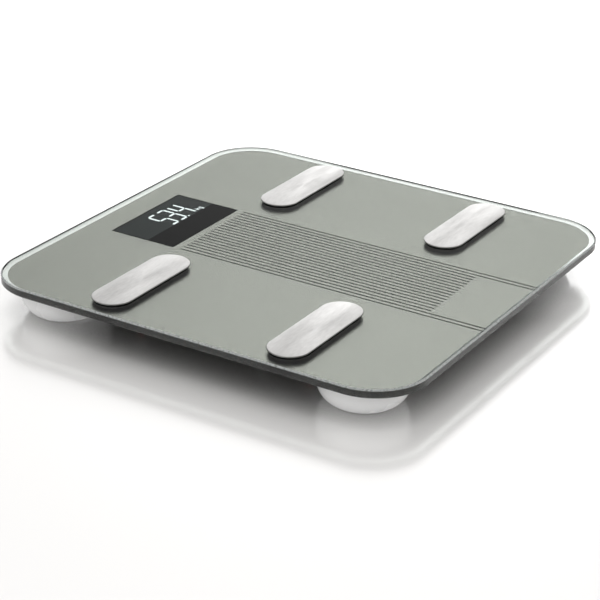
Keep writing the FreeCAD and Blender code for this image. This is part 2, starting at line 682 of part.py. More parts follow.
def housing_plate(inset, z0, z1):
    """The housing's rounded outline, drawn in by an inset."""
    width = HOUSING_WIDTH - 2 * inset
    length = HOUSING_LENGTH - 2 * inset
    return rounded_plate(0, HOUSING_MIDDLE, width, length, HOUSING_CORNER - inset, z0, z1)


def display_plate(margin, z0, z1):
    """The bezel's outline, grown by a margin."""
    width = BEZEL_WIDTH + 2 * margin
    length = BEZEL_LENGTH + 2 * margin
    return rounded_plate(0, READOUT_MIDDLE, width, length, BEZEL_CORNER, z0, z1)


def make_frame():
    """The upper half of the housing: four walls, a roof round the display, and screw bosses."""
    frame = housing_plate(0.0, COVER_TOP, TAPE_BOTTOM)
    frame = frame.cut(housing_plate(HOUSING_WALL, COVER_TOP - PAST, ROOF_UNDERSIDE))
    frame = frame.cut(display_plate(FIT_GAP, ROOF_UNDERSIDE - PAST, TAPE_BOTTOM + PAST))
    boss_top = ROOF_UNDERSIDE + OVERLAP
    bosses = [disc(x, y, COVER_BOSS_RADIUS, COVER_TOP, boss_top) for x, y in cover_boss_places()]
    bosses += [disc(x, y, BOARD_BOSS_RADIUS, BOARD_TOP, boss_top) for x, y in board_boss_places()]
    frame = fuse([frame] + bosses)
    pilot = SCREW_RADIUS + THREAD_GAP
    pilots = [disc(x, y, pilot, COVER_TOP - PAST, ROOF_UNDERSIDE) for x, y in cover_boss_places()]
    pilots += [disc(x, y, pilot, BOARD_TOP - PAST, ROOF_UNDERSIDE) for x, y in board_boss_places()]
    save("electronics_frame", cut(frame, pilots + wall_holes()))

    tape = housing_plate(HOUSING_TAPE_INSET, TAPE_BOTTOM, INK_BOTTOM)
    save("housing_tape", tape.cut(display_plate(DISPLAY_TAPE_GAP, TAPE_BOTTOM - PAST, INK_BOTTOM + PAST)))


def bay_openings():
    """What the battery bay takes out of the cover: the bay, the door's seat and the pin holes."""
    below = HOUSING_FLOOR_GAP - PAST
    ledge_x = BAY_INNER_X + DOOR_SIDE_LEDGE
    wall_x = BAY_INNER_X + BAY_WALL
    space = block(-BAY_INNER_X, BAY_INNER_X, BAY_HEEL, BAY_TOE, below, BAY_CEILING)
    seat_heel = BAY_HEEL + DOOR_NECK_LENGTH - DOOR_SWING_ROOM
    seat = block(-ledge_x, ledge_x, seat_heel, BAY_TOE + DOOR_SIDE_LEDGE,
                 below, DOOR_TOP + DOOR_SHUT_GAP)
    pins = rod_x(-wall_x, wall_x, HINGE_Y, HINGE_Z, DOOR_PIN_RADIUS + DOOR_PIN_GAP)
    return [space, seat, pins]


def make_cover():
    """The lower half of the housing: a plate with a lip, the battery bay and its screw holes."""
    below = HOUSING_FLOOR_GAP - PAST
    cover = housing_plate(0.0, HOUSING_FLOOR_GAP, COVER_TOP)
    cover = cover.makeFillet(COVER_EDGE_ROUND, flat_edges(cover, HOUSING_FLOOR_GAP, 1.0))
    lip_top = COVER_TOP + COVER_LIP_HEIGHT
    lip_inset = HOUSING_WALL + FIT_GAP
    lip = housing_plate(lip_inset, COVER_TOP - OVERLAP, lip_top)
    lip = lip.cut(housing_plate(lip_inset + COVER_LIP, COVER_TOP - PAST, lip_top + PAST))
    wall_x = BAY_INNER_X + BAY_WALL
    bay = block(-wall_x, wall_x, BAY_HEEL - BAY_WALL, BAY_TOE + BAY_WALL,
                COVER_TOP - OVERLAP, BAY_CEILING + BAY_ROOF)
    cover = fuse([cover, lip, bay])
    holes = bay_openings()
    holes.append(disc(BUTTON_X, BUTTON_Y, BUTTON_RADIUS + MOVING_GAP, below, COVER_TOP + PAST))
    seat = HOUSING_FLOOR_GAP + COVER_SCREW_SINK
    for x, y in cover_boss_places():
        holes.append(disc(x, y, SCREW_RADIUS + SCREW_GAP, below, COVER_TOP + PAST))
        holes.append(disc(x, y, SCREW_HEAD_RADIUS + SCREW_GAP, below, seat))
    save("electronics_cover", cut(cover, holes))
    save("cover_screws", [screw_up(x, y, seat, COVER_SCREW_LENGTH) for x, y in cover_boss_places()])


# === display and main board ==================================================================
def make_display():
    """The display module: bezel, liquid-crystal cell, backlight, pins and dust gasket."""
    half_x = CELL_GLASS_WIDTH / 2
    half_y = CELL_GLASS_LENGTH / 2
    heel, toe = READOUT_MIDDLE - half_y, READOUT_MIDDLE + half_y
    room_x = half_x + FIT_GAP
    below, above = BOARD_TOP - PAST, TAPE_BOTTOM + PAST
    bezel = display_plate(0.0, BOARD_TOP, TAPE_BOTTOM)
    bezel = bezel.cut(block(-room_x, room_x, heel - FIT_GAP, toe + FIT_GAP, below, above))
    for sign in (-1, 1):
        inner, wall = sorted((sign * (room_x - BEZEL_LEDGE_REACH), sign * (room_x + OVERLAP)))
        ledge = block(inner, wall, heel + BEZEL_PIN_ROOM, toe + FIT_GAP + OVERLAP,
                      BOARD_TOP, BACKLIGHT_BOTTOM)
        bezel = fuse([bezel, ledge])
    save("display_bezel", bezel)

    gasket = display_plate(0.0, TAPE_BOTTOM, INK_BOTTOM)
    hole_x = READOUT_WIDTH / 2 + GASKET_MARGIN
    hole = block(-hole_x, hole_x, READOUT_HEEL - GASKET_MARGIN, READOUT_TOE + GASKET_MARGIN,
                 TAPE_BOTTOM - PAST, INK_BOTTOM + PAST)
    save("display_gasket", gasket.cut(hole))
    save("display_cell", block(-half_x, half_x, heel, toe, CELL_GLASS_BOTTOM, TAPE_BOTTOM))
    half_light = BACKLIGHT_WIDTH / 2
    save("backlight", block(-half_light, half_light, toe - BACKLIGHT_LENGTH, toe,
                            BACKLIGHT_BOTTOM, CELL_GLASS_BOTTOM))

    pins = []
    pin_y = heel + PIN_INSET
    half = PIN_SIZE / 2
    for index in range(PIN_COUNT):
        x = (index - (PIN_COUNT - 1) / 2) * PIN_PITCH
        upright = block(x - half, x + half, pin_y - half, pin_y + half, BOARD_TOP, CELL_GLASS_BOTTOM)
        foot_top = BOARD_TOP + PIN_FOOT_HEIGHT
        foot = block(x - half, x + half, pin_y - 3 * half, pin_y + half, BOARD_TOP, foot_top)
        pins.append(fuse([upright, foot]))
    save("display_pins", pins)


def wire_socket(x, y, along_x, sign, width):
    """A plug socket on the board, its mouth at (x, y) and its depth inwards from there."""
    far = SOCKET_DEPTH * sign
    half = width / 2
    top = BOARD_TOP + SOCKET_HEIGHT
    if along_x:
        x0, x1 = sorted((x, x + far))
        return block(x0, x1, y - half, y + half, BOARD_TOP, top)
    return block(x - half, x + half, y, y + far, BOARD_TOP, top)


def make_board():
    """The main board under the display, its screws, its parts and its wire sockets."""
    hole = SCREW_RADIUS + SCREW_GAP
    board = rounded_plate(0, BOARD_MIDDLE, BOARD_WIDTH, BOARD_LENGTH, BOARD_CORNER, BOARD_BOTTOM, BOARD_TOP)
    holes = [disc(x, y, hole, BOARD_BOTTOM - PAST, BOARD_TOP + PAST) for x, y in board_boss_places()]
    save("main_board", cut(board, holes))
    screw_length = BOARD_THICKNESS + BOARD_SCREW_GRIP
    save("board_screws", [screw_up(x, y, BOARD_BOTTOM, screw_length) for x, y in board_boss_places()])

    chips = []
    for x, dy, width, length, height in CHIPS:
        y = BOARD_MIDDLE + dy
        chips.append(block(x - width / 2, x + width / 2, y - length / 2, y + length / 2,
                           BOARD_BOTTOM - height, BOARD_BOTTOM))
    x, dy, length, width, height = CRYSTAL
    crystal_base = BOARD_BOTTOM - height
    chips.append(rounded_plate(x, BOARD_MIDDLE + dy, length, width, width / 2, crystal_base, BOARD_BOTTOM))
    can_base = BOARD_BOTTOM - CAN_HEIGHT
    for x, dy in CAN_PLACES:
        can = disc(x, BOARD_MIDDLE + dy, CAN_RADIUS, can_base, BOARD_BOTTOM)
        chips.append(can.makeFillet(END_CHAMFER, flat_edges(can, can_base, 1.0)))
    width, length, height = SMALL_PART
    y = BOARD_MIDDLE + SMALL_PART_ROW
    for index in range(SMALL_PART_COUNT):
        x = SMALL_PART_START + SMALL_PART_PITCH * index
        chips.append(block(x, x + width, y, y + length, BOARD_BOTTOM - height, BOARD_BOTTOM))
    save("board_components", chips)

    sockets = []
    heel_mouth = BOARD_HEEL + SOCKET_EDGE_Y
    for _, sign in SIDES:
        side_mouth = sign * (BOARD_WIDTH / 2 - SOCKET_EDGE_X)
        sockets.append(wire_socket(side_mouth, FOOT_TOE_Y, True, -sign, SOCKET_WIDE))
        sockets.append(wire_socket(side_mouth, TOE_WIRE_Y, True, -sign, SOCKET_WIDTH))
        sockets.append(wire_socket(sign * HEEL_CABLE_X, heel_mouth, False, 1, SOCKET_WIDTH))
        sockets.append(wire_socket(sign * HEEL_WIRE_X, heel_mouth, False, 1, SOCKET_WIDTH))
    save("wire_sockets", sockets)


# === unit button =============================================================================
def make_button():
    """The unit button, and the plunger that it presses into the switch on the board."""
    half = SWITCH_SIZE / 2
    x, y = BUTTON_X, BUTTON_Y
    plunger_bottom = SWITCH_BOTTOM - PLUNGER_STANDS_OUT
    plunger_top = plunger_bottom + PLUNGER_LENGTH
    bore_top = plunger_top + BUTTON_TRAVEL + PLUNGER_END_GAP
    switch = block(x - half, x + half, y - half, y + half, SWITCH_BOTTOM, BOARD_BOTTOM)
    bore = disc(x, y, PLUNGER_RADIUS + PLUNGER_GAP, SWITCH_BOTTOM - PAST, bore_top)
    save("button_switch", switch.cut(bore))
    save("switch_plunger", disc(x, y, PLUNGER_RADIUS, plunger_bottom, plunger_top))
    base = HOUSING_FLOOR_GAP + BUTTON_RECESS
    flange_bottom = COVER_TOP + MOVING_GAP
    flange_top = flange_bottom + BUTTON_FLANGE_THICKNESS
    cap = disc(x, y, BUTTON_RADIUS, base, flange_top)
    cap = cap.makeFillet(BUTTON_EDGE, flat_edges(cap, base, 1.0))
    flange = disc(x, y, BUTTON_FLANGE_RADIUS, flange_bottom, flange_top)
    stem = disc(x, y, BUTTON_STEM_RADIUS, flange_top - OVERLAP, plunger_bottom)
    save("unit_button", fuse([cap, flange, stem]))


# === battery bay =============================================================================
def battery(y):
    """One AAA cell along X, its plus end on the right."""
    plus_end = BAY_INNER_X - CONTACT_PLATE
    body_end = plus_end - BATTERY_NUB_LENGTH
    body = rod_x(body_end - BATTERY_LENGTH, body_end, y, BATTERY_AXIS_Z, BATTERY_RADIUS)
    rim = 2 * math.pi * BATTERY_RADIUS
    body = body.makeFillet(END_CHAMFER, [edge for edge in body.Edges if abs(edge.Length - rim) < 1e-3])
    return fuse([body, rod_x(body_end - OVERLAP, plus_end, y, BATTERY_AXIS_Z, BATTERY_NUB_RADIUS)])


def leaf_outline(inset):
    """The side of the bowed leaf, drawn in by an inset: two legs and a half-round nose."""
    radius = SPRING_NOSE_RADIUS - inset
    legs = SPRING_LENGTH - SPRING_NOSE_RADIUS
    low, high = vec(0, 0, -radius), vec(0, 0, radius)
    low_end, high_end = vec(legs, 0, -radius), vec(legs, 0, radius)
    return Part.Face(Part.Wire([
        Part.LineSegment(high, low).toShape(),
        Part.LineSegment(low, low_end).toShape(),
        Part.Arc(low_end, vec(legs + radius, 0, 0), high_end).toShape(),
        Part.LineSegment(high_end, high).toShape(),
    ]))


def leaf_spring(y):
    """The bowed leaf that presses on the minus end of a cell."""
    bow = leaf_outline(0.0).extrude(vec(0, SPRING_WIDTH, 0))
    bow = bow.cut(leaf_outline(SPRING_THICKNESS).extrude(vec(0, SPRING_WIDTH, 0)))
    bow.translate(vec(CONTACT_PLATE - BAY_INNER_X, y - SPRING_WIDTH / 2, BATTERY_AXIS_Z))
    return bow


def make_batteries():
    """Three cells laid head to tail, with a leaf spring and two contact plates for each."""
    springs, plates = [], []
    half = CONTACT_SIZE / 2
    for index in range(BATTERY_COUNT):
        y = FIRST_BATTERY_Y - index * BATTERY_PITCH
        cell, spring = battery(y), leaf_spring(y)
        if index % 2 == 1:
            centre = vec(0, y, BATTERY_AXIS_Z)
            cell.rotate(centre, vec(0, 0, 1), 180)
            spring.rotate(centre, vec(0, 0, 1), 180)
        save("battery_" + str(index + 1), cell)
        springs.append(spring)
        low, high = BATTERY_AXIS_Z - half, BATTERY_AXIS_Z + half
        inner = BAY_INNER_X - CONTACT_PLATE
        plates.append(block(inner, BAY_INNER_X, y - half, y + half, low, high))
        plates.append(block(-BAY_INNER_X, -inner, y - half, y + half, low, high))
    save("battery_springs", springs)
    save("battery_plates", plates)


def make_battery_door():
    """The door: a barrel with two pins at its heel edge, a panel, and a springy latch tongue."""
    neck_x = BAY_INNER_X - MOVING_GAP
    wide_x = BAY_INNER_X + DOOR_SIDE_LEDGE - MOVING_GAP
    pin_x = neck_x + DOOR_PIN_LENGTH
    neck_toe = BAY_HEEL + DOOR_NECK_LENGTH
    toe = BAY_TOE + DOOR_SIDE_LEDGE - MOVING_GAP
    base = HOUSING_FLOOR_GAP
    door = fuse([
        rod_x(-neck_x, neck_x, HINGE_Y, HINGE_Z, DOOR_BARREL_RADIUS),
        rod_x(-pin_x, pin_x, HINGE_Y, HINGE_Z, DOOR_PIN_RADIUS),
        block(-neck_x, neck_x, HINGE_Y, neck_toe + PAST, base, DOOR_TOP),
        block(-wide_x, wide_x, neck_toe + MOVING_GAP, toe, base, DOOR_TOP),
    ])
    latch_heel = toe - LATCH_LENGTH
    slot_x = LATCH_HALF_WIDTH + LATCH_SLOT
    below, above = base - PAST, DOOR_TOP + PAST
    slots = [block(LATCH_HALF_WIDTH, slot_x, latch_heel, toe + PAST, below, above)]
    slots.append(block(-slot_x, -LATCH_HALF_WIDTH, latch_heel, toe + PAST, below, above))
    for index in range(GRIP_COUNT):
        y = latch_heel + GRIP_START + GRIP_PITCH * index
        slots.append(block(-GRIP_HALF_LENGTH, GRIP_HALF_LENGTH, y, y + GRIP_WIDTH,
                           below, base + GRIP_DEPTH))
    save("battery_door", cut(door, slots))


# === wiring ==================================================================================
def lug_direction(x):
    """The way an electrode wire leaves its lug, towards the housing."""
    return vec(-math.copysign(LUG_LEAN, x), 1.0).normalize()


def foot_way(x, y):
    """The way a load-cell cable leaves its foot: inwards at the toes, forwards at the heels."""
    return vec(-math.copysign(1, x), 0) if y > 0 else vec(0, 1)


def foot_route(x, y):
    """The route of one load-cell cable, from inside the cup to its socket on the board."""
    side = math.copysign(1, x)
    start = vec(x, y, WIRING_Z) + foot_way(x, y) * (CUP_RIM_RADIUS - CABLE_REACH)
    if y > 0:
        return [start, vec(side * (BOARD_WIDTH / 2 - SOCKET_EDGE_X), y, WIRING_Z)]
    entry = vec(side * HEEL_CABLE_X, HOUSING_HEEL - WALL_APPROACH, WIRING_Z)
    lane = vec(side * (ELECTRODE_X + STUD_LANE), ELECTRODE_HEEL_Y + STUD_LANE, CABLE_Z)
    across = entry - lane
    return [start,
            vec(x, y + CUP_RIM_RADIUS + CUP_EXIT_RUN, WIRING_Z),
            lane,
            *[vec(lane.x + fx * across.x, lane.y + fy * across.y, CABLE_Z)
              for fx, fy in HEEL_CABLE_BENDS],
            entry,
            vec(entry.x, BOARD_HEEL + SOCKET_EDGE_Y, WIRING_Z)]


def electrode_route(x, y):
    """The route of one electrode wire, from its lug to its socket on the board."""
    side = math.copysign(1, x)
    way = lug_direction(x)
    start = vec(x, y, LUG_AXIS_Z) + way * (LUG_RADIUS + LUG_BARREL_START + LUG_WIRE_STOP + THREAD_GAP)
    ahead = vec(x, y, LUG_AXIS_Z) + way * (LUG_RADIUS + 2 * LUG_BARREL_LENGTH)
    if y > 0:
        wall = HOUSING_WIDTH / 2
        out, back, down = TOE_WIRE_TURN
        return [start,
                ahead,
                vec(side * (wall + out), TOE_WIRE_Y - back, LUG_AXIS_Z - down),
                vec(side * (wall + TOE_WIRE_RUN), TOE_WIRE_Y, WIRING_Z),
                vec(side * (BOARD_WIDTH / 2 - SOCKET_EDGE_X), TOE_WIRE_Y, WIRING_Z)]
    entry = vec(side * HEEL_WIRE_X, HOUSING_HEEL - WIRE_APPROACH, WIRING_Z)
    across = entry - ahead
    return [start,
            ahead,
            *[vec(ahead.x + fx * across.x, ahead.y + fy * across.y, LUG_AXIS_Z)
              for fx, fy in HEEL_WIRE_BENDS],
            entry,
            vec(entry.x, BOARD_HEEL + SOCKET_EDGE_Y, WIRING_Z)]


def wall_holes():
    """Holes through the housing walls for every cable and wire."""
    depth = HOUSING_WALL + 2 * PAST
    holes = []
    for _, sign in SIDES:
        for y, radius in ((FOOT_TOE_Y, CABLE_RADIUS), (TOE_WIRE_Y, WIRE_RADIUS)):
            base = vec(sign * (HOUSING_WIDTH / 2 + PAST), y, WIRING_Z)
            holes.append(Part.makeCylinder(radius + WIRE_HOLE_GAP, depth, base, vec(-sign, 0, 0)))
        for x, radius in ((HEEL_CABLE_X, CABLE_RADIUS), (HEEL_WIRE_X, WIRE_RADIUS)):
            base = vec(sign * x, HOUSING_HEEL - PAST, WIRING_Z)
            holes.append(Part.makeCylinder(radius + WIRE_HOLE_GAP, depth, base, vec(0, 1, 0)))
    return holes


def cable_clip(start, end):
    """A stick-on saddle over a cable, half way along one of its runs."""
    half_length, half_width = CLIP_LENGTH / 2, CLIP_WIDTH / 2
    base = INK_BOTTOM - CLIP_HEIGHT
    clip = block(-half_length, half_length, -half_width, half_width, base, INK_BOTTOM)
    clip = clip.makeChamfer(CLIP_CHAMFER, flat_edges(clip, base, CLIP_LENGTH - 0.1))
    bore = CABLE_RADIUS + CLIP_GAP
    channel_top = INK_BOTTOM - CLIP_SKIN
    clip = clip.cut(rod_x(-CLIP_LENGTH, CLIP_LENGTH, 0, CABLE_Z, bore))
    clip = clip.cut(block(-CLIP_LENGTH, CLIP_LENGTH, -bore, bore, CABLE_Z, channel_top))
    way = end - start
    clip.rotate(vec(0, 0), vec(0, 0, 1), math.degrees(math.atan2(way.y, way.x)))
    middle = (start + end) * 0.5
    clip.translate(vec(middle.x, middle.y))
    return clip


def make_wiring():
    """The load-cell cables, the electrode wires and the clips that hold the heel cables."""
    save("load_cell_cables", [cable_between(foot_route(x, y), CABLE_RADIUS) for _, x, y in FEET])
    save("electrode_wires", [cable_between(electrode_route(x, y), WIRE_RADIUS) for _, x, y in ELECTRODES])
    clips = []
    for _, x, y in FEET:
        if y < 0:
            route = foot_route(x, y)
            clips += [cable_clip(route[index], route[index + 1]) for index in (2, 3)]
    save("cable_clips", clips)


os.makedirs("parts", exist_ok=True)
make_platform()
make_electrodes()
make_feet()
make_frame()
make_cover()
make_display()
make_board()
make_button()
make_batteries()
make_battery_door()
make_wiring()
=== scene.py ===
import math
import bpy
import numpy as np
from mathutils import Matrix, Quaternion, Vector
from mathutils.geometry import delaunay_2d_cdt


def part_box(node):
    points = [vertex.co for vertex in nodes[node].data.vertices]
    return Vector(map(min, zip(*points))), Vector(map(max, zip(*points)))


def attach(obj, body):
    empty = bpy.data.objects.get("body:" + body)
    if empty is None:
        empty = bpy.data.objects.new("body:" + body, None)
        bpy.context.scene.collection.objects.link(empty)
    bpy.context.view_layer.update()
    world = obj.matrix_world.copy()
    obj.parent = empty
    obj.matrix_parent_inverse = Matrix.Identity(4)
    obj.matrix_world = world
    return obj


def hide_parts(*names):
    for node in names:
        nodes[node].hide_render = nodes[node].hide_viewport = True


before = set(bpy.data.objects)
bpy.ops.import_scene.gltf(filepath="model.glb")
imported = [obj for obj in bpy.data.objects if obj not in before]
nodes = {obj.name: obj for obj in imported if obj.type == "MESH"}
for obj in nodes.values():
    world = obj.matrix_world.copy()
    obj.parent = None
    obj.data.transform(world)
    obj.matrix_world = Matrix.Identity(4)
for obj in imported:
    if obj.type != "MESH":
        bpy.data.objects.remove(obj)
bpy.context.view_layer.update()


# === studio ======================================================================================
# A camera on a tripod a little over a metre from the scale, about 25 degrees above it and off the
# heel's left corner, with a long lens.
glass_low, glass_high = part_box("glass_platform")
LENS = 119.3
CAMERA_PLACE = (-1.0225, -0.6210)
CAMERA_ABOVE_GLASS = 0.5232
AIM_PLACE = (-0.0655, -0.0362)
CAMERA_ROLL = 1.06
camera_data = bpy.data.cameras.new("camera")
camera_data.lens = LENS
camera = bpy.data.objects.new("camera", camera_data)
bpy.context.scene.collection.objects.link(camera)
camera.location = (*CAMERA_PLACE, glass_high.z + CAMERA_ABOVE_GLASS)
aim = Vector((*AIM_PLACE, glass_high.z))
level_turn = (aim - camera.location).to_track_quat("-Z", "Y")
camera.rotation_mode = "QUATERNION"
camera.rotation_quaternion = level_turn @ Quaternion((0, 0, 1), math.radians(CAMERA_ROLL))
bpy.context.scene.camera = camera
bpy.context.scene.view_settings.view_transform = "Standard"


def add_mesh(name, points, faces, sharp_angle=35.0):
    """A mesh object from an array of points and a list of faces, smooth except at its sharp edges."""
    mesh = bpy.data.meshes.new(name)
    mesh.from_pydata(np.asarray(points).tolist(), [], faces)
    mesh.shade_smooth()
    mesh.set_sharp_from_angle(angle=math.radians(sharp_angle))
    piece = bpy.data.objects.new(name, mesh)
    bpy.context.scene.collection.objects.link(piece)
    return piece


def new_material(name, colour=(0.8, 0.8, 0.8), roughness=0.5, metallic=0.0):
    """A material with one Principled shader, and that shader."""
    material = bpy.data.materials.new(name)
    material.use_nodes = True
    shader = material.node_tree.nodes["Principled BSDF"]
    shader.inputs["Base Color"].default_value = (*colour, 1)
    shader.inputs["Roughness"].default_value = roughness
    shader.inputs["Metallic"].default_value = metallic
    return material, shader


def add_node(tree, kind, links=None, **settings):
    """A shader node in a tree, its settings made and its inputs linked or given plain values."""
    node = tree.nodes.new("ShaderNode" + kind)
    for key, value in settings.items():
        setattr(node, key, value)
    for key, source in (links or {}).items():
        if isinstance(source, bpy.types.NodeSocket):
            tree.links.new(source, node.inputs[key])
        else:
            node.inputs[key].default_value = source
    return node


# The floor is a sheet of glossy white acrylic. It is clear from below, and lets a lamp under it
# light the feet and the housing, so that the underside can be looked at.
FLOOR_HALF = 6.0
FLOOR_DROP = 0.00005
floor_corners = [(-1, -1), (1, -1), (1, 1), (-1, 1)]
floor_points = [(x * FLOOR_HALF, y * FLOOR_HALF, -FLOOR_DROP) for x, y in floor_corners]
floor = add_mesh("floor", floor_points, [(0, 1, 2, 3)])
FLOOR_WHITE = (0.90, 0.885, 0.87)
floor_material, floor_shader = new_material("white_acrylic", FLOOR_WHITE, 0.6)
floor_shader.inputs["Coat Weight"].default_value = 1.0
floor_shader.inputs["Coat Roughness"].default_value = 0.17
floor_shader.inputs["Coat IOR"].default_value = 2.65
floor_tree = floor_material.node_tree
# The contact shadow is deepened with painted shade: the sheet's own colour falls to a fifth where the scale
# hides the sky within this reach, a painted shadow which stands in for light that the dome spills under the
# edge.
SHADOW_REACH = 0.07
floor_seen = add_node(floor_tree, "AmbientOcclusion", {"Distance": SHADOW_REACH}, samples=8).outputs["AO"]
floor_painted_shadow = add_node(floor_tree, "MapRange", {0: floor_seen, 1: 0.10, 2: 0.62, 3: 0.22, 4: 1.0}).outputs[0]
floor_colour = add_node(floor_tree, "Mix", {0: floor_painted_shadow, 6: (0, 0, 0, 1), 7: (*FLOOR_WHITE, 1)},
                        data_type="RGBA")
floor_tree.links.new(floor_colour.outputs[2], floor_shader.inputs["Base Color"])
floor_back = add_node(floor_tree, "NewGeometry").outputs["Backfacing"]
floor_lit = add_node(floor_tree, "LightPath").outputs["Is Shadow Ray"]
floor_open = add_node(floor_tree, "Math", {0: floor_back, 1: floor_lit}, operation="MAXIMUM").outputs[0]
floor_clear = add_node(floor_tree, "BsdfTransparent").outputs["BSDF"]
floor_mix = add_node(floor_tree, "MixShader", {0: floor_open, 1: floor_shader.outputs[0], 2: floor_clear})
floor_tree.links.new(floor_mix.outputs[0], floor_tree.nodes["Material Output"].inputs["Surface"])
floor.data.materials.append(floor_material)

# The light is a white cove: an even dome, dim near the floor and straight above, with one broad lit
# panel low behind the toe end, a weak one on the right, and a large soft box overhead. The lens sees
# plain white behind the scale. A polarising filter on it takes most of the mirror image off the glass.
world = bpy.data.worlds.new("cove")
bpy.context.scene.world = world
world.use_nodes = True
sky = world.node_tree
direction = add_node(sky, "TexCoord").outputs["Generated"]
height = add_node(sky, "SeparateXYZ", {0: direction}).outputs["Z"]
above = add_node(sky, "MapRange", {0: height, 1: -0.02, 2: 0.02, 3: 0.0, 4: 1.0}).outputs[0]
DOME_LOW = 0.20
DOME_HIGH = 1.11
strength = add_node(sky, "MapRange", {0: height, 1: 0.08, 2: 0.48, 3: DOME_LOW, 4: DOME_HIGH},
                    interpolation_type="SMOOTHSTEP").outputs[0]
overhead = add_node(sky, "MapRange", {0: height, 1: 0.75, 2: 0.92, 3: 1.0, 4: 0.5}).outputs[0]
strength = add_node(sky, "Math", {0: strength, 1: overhead}, operation="MULTIPLY").outputs[0]
LIT_PANELS = (((0.86, 0.44, 0.19), 0.93, 2.9), ((0.79, -0.42, 0.48), 0.94, 0.5))
for light_from, spread_from, gain in LIT_PANELS:
    toward = add_node(sky, "VectorMath", {0: direction, 1: Vector(light_from).normalized()},
                      operation="DOT_PRODUCT")
    glow = add_node(sky, "MapRange", {0: toward.outputs["Value"], 1: spread_from, 2: 1.0, 3: 0.0, 4: gain},
                    interpolation_type="SMOOTHSTEP").outputs[0]
    strength = add_node(sky, "Math", {0: strength, 1: glow}, operation="ADD").outputs[0]
strength = add_node(sky, "Math", {0: strength, 1: above}, operation="MULTIPLY").outputs[0]
ray = add_node(sky, "LightPath").outputs
mirrored = add_node(sky, "Math", {0: ray["Is Singular Ray"], 1: ray["Is Reflection Ray"]},
                    operation="MULTIPLY")
POLARISED = 0.08
kept = add_node(sky, "MapRange", {0: mirrored.outputs[0], 1: 0.0, 2: 1.0, 3: 1.0, 4: POLARISED}).outputs[0]
strength = add_node(sky, "Math", {0: strength, 1: kept}, operation="MULTIPLY").outputs[0]
strength = add_node(sky, "Math", {0: strength, 1: ray["Is Camera Ray"]}, operation="MAXIMUM").outputs[0]
sky.links.new(strength, sky.nodes["Background"].inputs["Strength"])
sky.nodes["Background"].inputs["Color"].default_value = (1, 1, 1, 1)


def add_soft_box(name, place, aim_at, width, length, watts):
    """A rectangular area lamp at a place, turned to a point."""
    lamp = bpy.data.lights.new(name, "AREA")
    lamp.shape = "RECTANGLE"
    lamp.size, lamp.size_y = width, length
    lamp.energy = watts
    box = bpy.data.objects.new(name, lamp)
    bpy.context.scene.collection.objects.link(box)
    box.location = place
    box.rotation_euler = (Vector(aim_at) - Vector(place)).to_track_quat("-Z", "Y").to_euler()
    return box


OVERHEAD_WATTS = 4
TABLE_WATTS = 55
add_soft_box("overhead_box", (0.2, 0.5, 1.6), (0, 0, 0), 1.4, 1.4, OVERHEAD_WATTS)
add_soft_box("table_box", (0, 0, -2.0), (0, 0, 0), 4.0, 4.0, TABLE_WATTS)


# === glass platform ================================================================================
# A plate of tempered float glass, cut with large corners, its edges ground flat and its arrises
# taken off at 45 degrees, the lower one polished and the upper one only buffed.
ARRIS = 0.0009
ARRIS_ROUND = 0.00012
CORNER = 0.037
CORNER_STEPS = 40
INTO_GLASS = 0.00002


def rounded_outline(centre, width, length, radius, steps):
    """The points of a rectangle with arc corners, anticlockwise: corner centre plus radius turned
    through a quarter for each corner in turn."""
    turn = np.linspace(0, math.pi / 2, steps + 1)
    angle = np.concatenate([turn + quarter * math.pi / 2 for quarter in range(4)])
    sign_x = np.repeat([1, -1, -1, 1], steps + 1)
    sign_y = np.repeat([1, 1, -1, -1], steps + 1)
    x = centre[0] + sign_x * (width / 2 - radius) + radius * np.cos(angle)
    y = centre[1] + sign_y * (length / 2 - radius) + radius * np.sin(angle)
    outline = np.column_stack([x, y])
    return outline[np.linalg.norm(outline - np.roll(outline, 1, axis=0), axis=1) > 1e-7]


def outline_normals(outline):
    """Unit vectors that point out of an anticlockwise outline, square to the chord at each point."""
    chord = np.roll(outline, -1, axis=0) - np.roll(outline, 1, axis=0)
    out = np.column_stack([chord[:, 1], -chord[:, 0]])
    return out / np.linalg.norm(out, axis=1, keepdims=True)


def plate_with_edge(name, outlines, profile, sharp_angle=35.0):
    """A plate whose edge follows a profile of (inset, height) pairs from the underside up.

    Every outline gives one wall: the outline moved in along its normals by the inset, at the
    height. The first outline is the rim and the rest are holes, whose walls move the other way.
    Both ends are closed by triangles between the outlines, less those that lie in one hole."""
    points, faces, lows, highs, owner, start = [], [], [], [], [], 0
    for index, outline in enumerate(outlines):
        away = outline_normals(outline) * (1 if index == 0 else -1)
        count, rows = len(outline), len(profile)
        for inset, level in profile:
            ring = outline - away * inset
            points.append(np.column_stack([ring, np.full(count, level)]))
        grid = start + np.arange(rows * count).reshape(rows, count)
        onward = np.roll(grid, -1, axis=1)
        wall = np.stack([grid[:-1], onward[:-1], onward[1:], grid[1:]], axis=-1).reshape(-1, 4)
        faces += (wall if index == 0 else wall[:, ::-1]).tolist()
        lows.append(grid[0])
        highs.append(grid[-1])
        owner.append(np.full(count, index))
        start += rows * count
    points, owner = np.concatenate(points), np.concatenate(owner)
    for rings, flip in ((lows, True), (highs, False)):
        numbers = np.concatenate(rings)
        cap = [list(range(len(numbers)))]
        if len(outlines) > 1:
            ends = np.cumsum([len(ring) for ring in rings])
            loops = [list(range(end - len(ring), end)) for ring, end in zip(rings, ends)]
            flat = [Vector(place) for place in points[numbers, :2]]
            triangles = np.array(delaunay_2d_cdt(flat, [], loops, 1, 1e-12)[2])
            first, same = owner[triangles[:, 0]], np.ptp(owner[triangles], axis=1) == 0
            cap = triangles[~(same & (first > 0))].tolist()
        faces += [numbers[corners[::-1] if flip else corners].tolist() for corners in cap]
    return add_mesh(name, points, faces, sharp_angle)


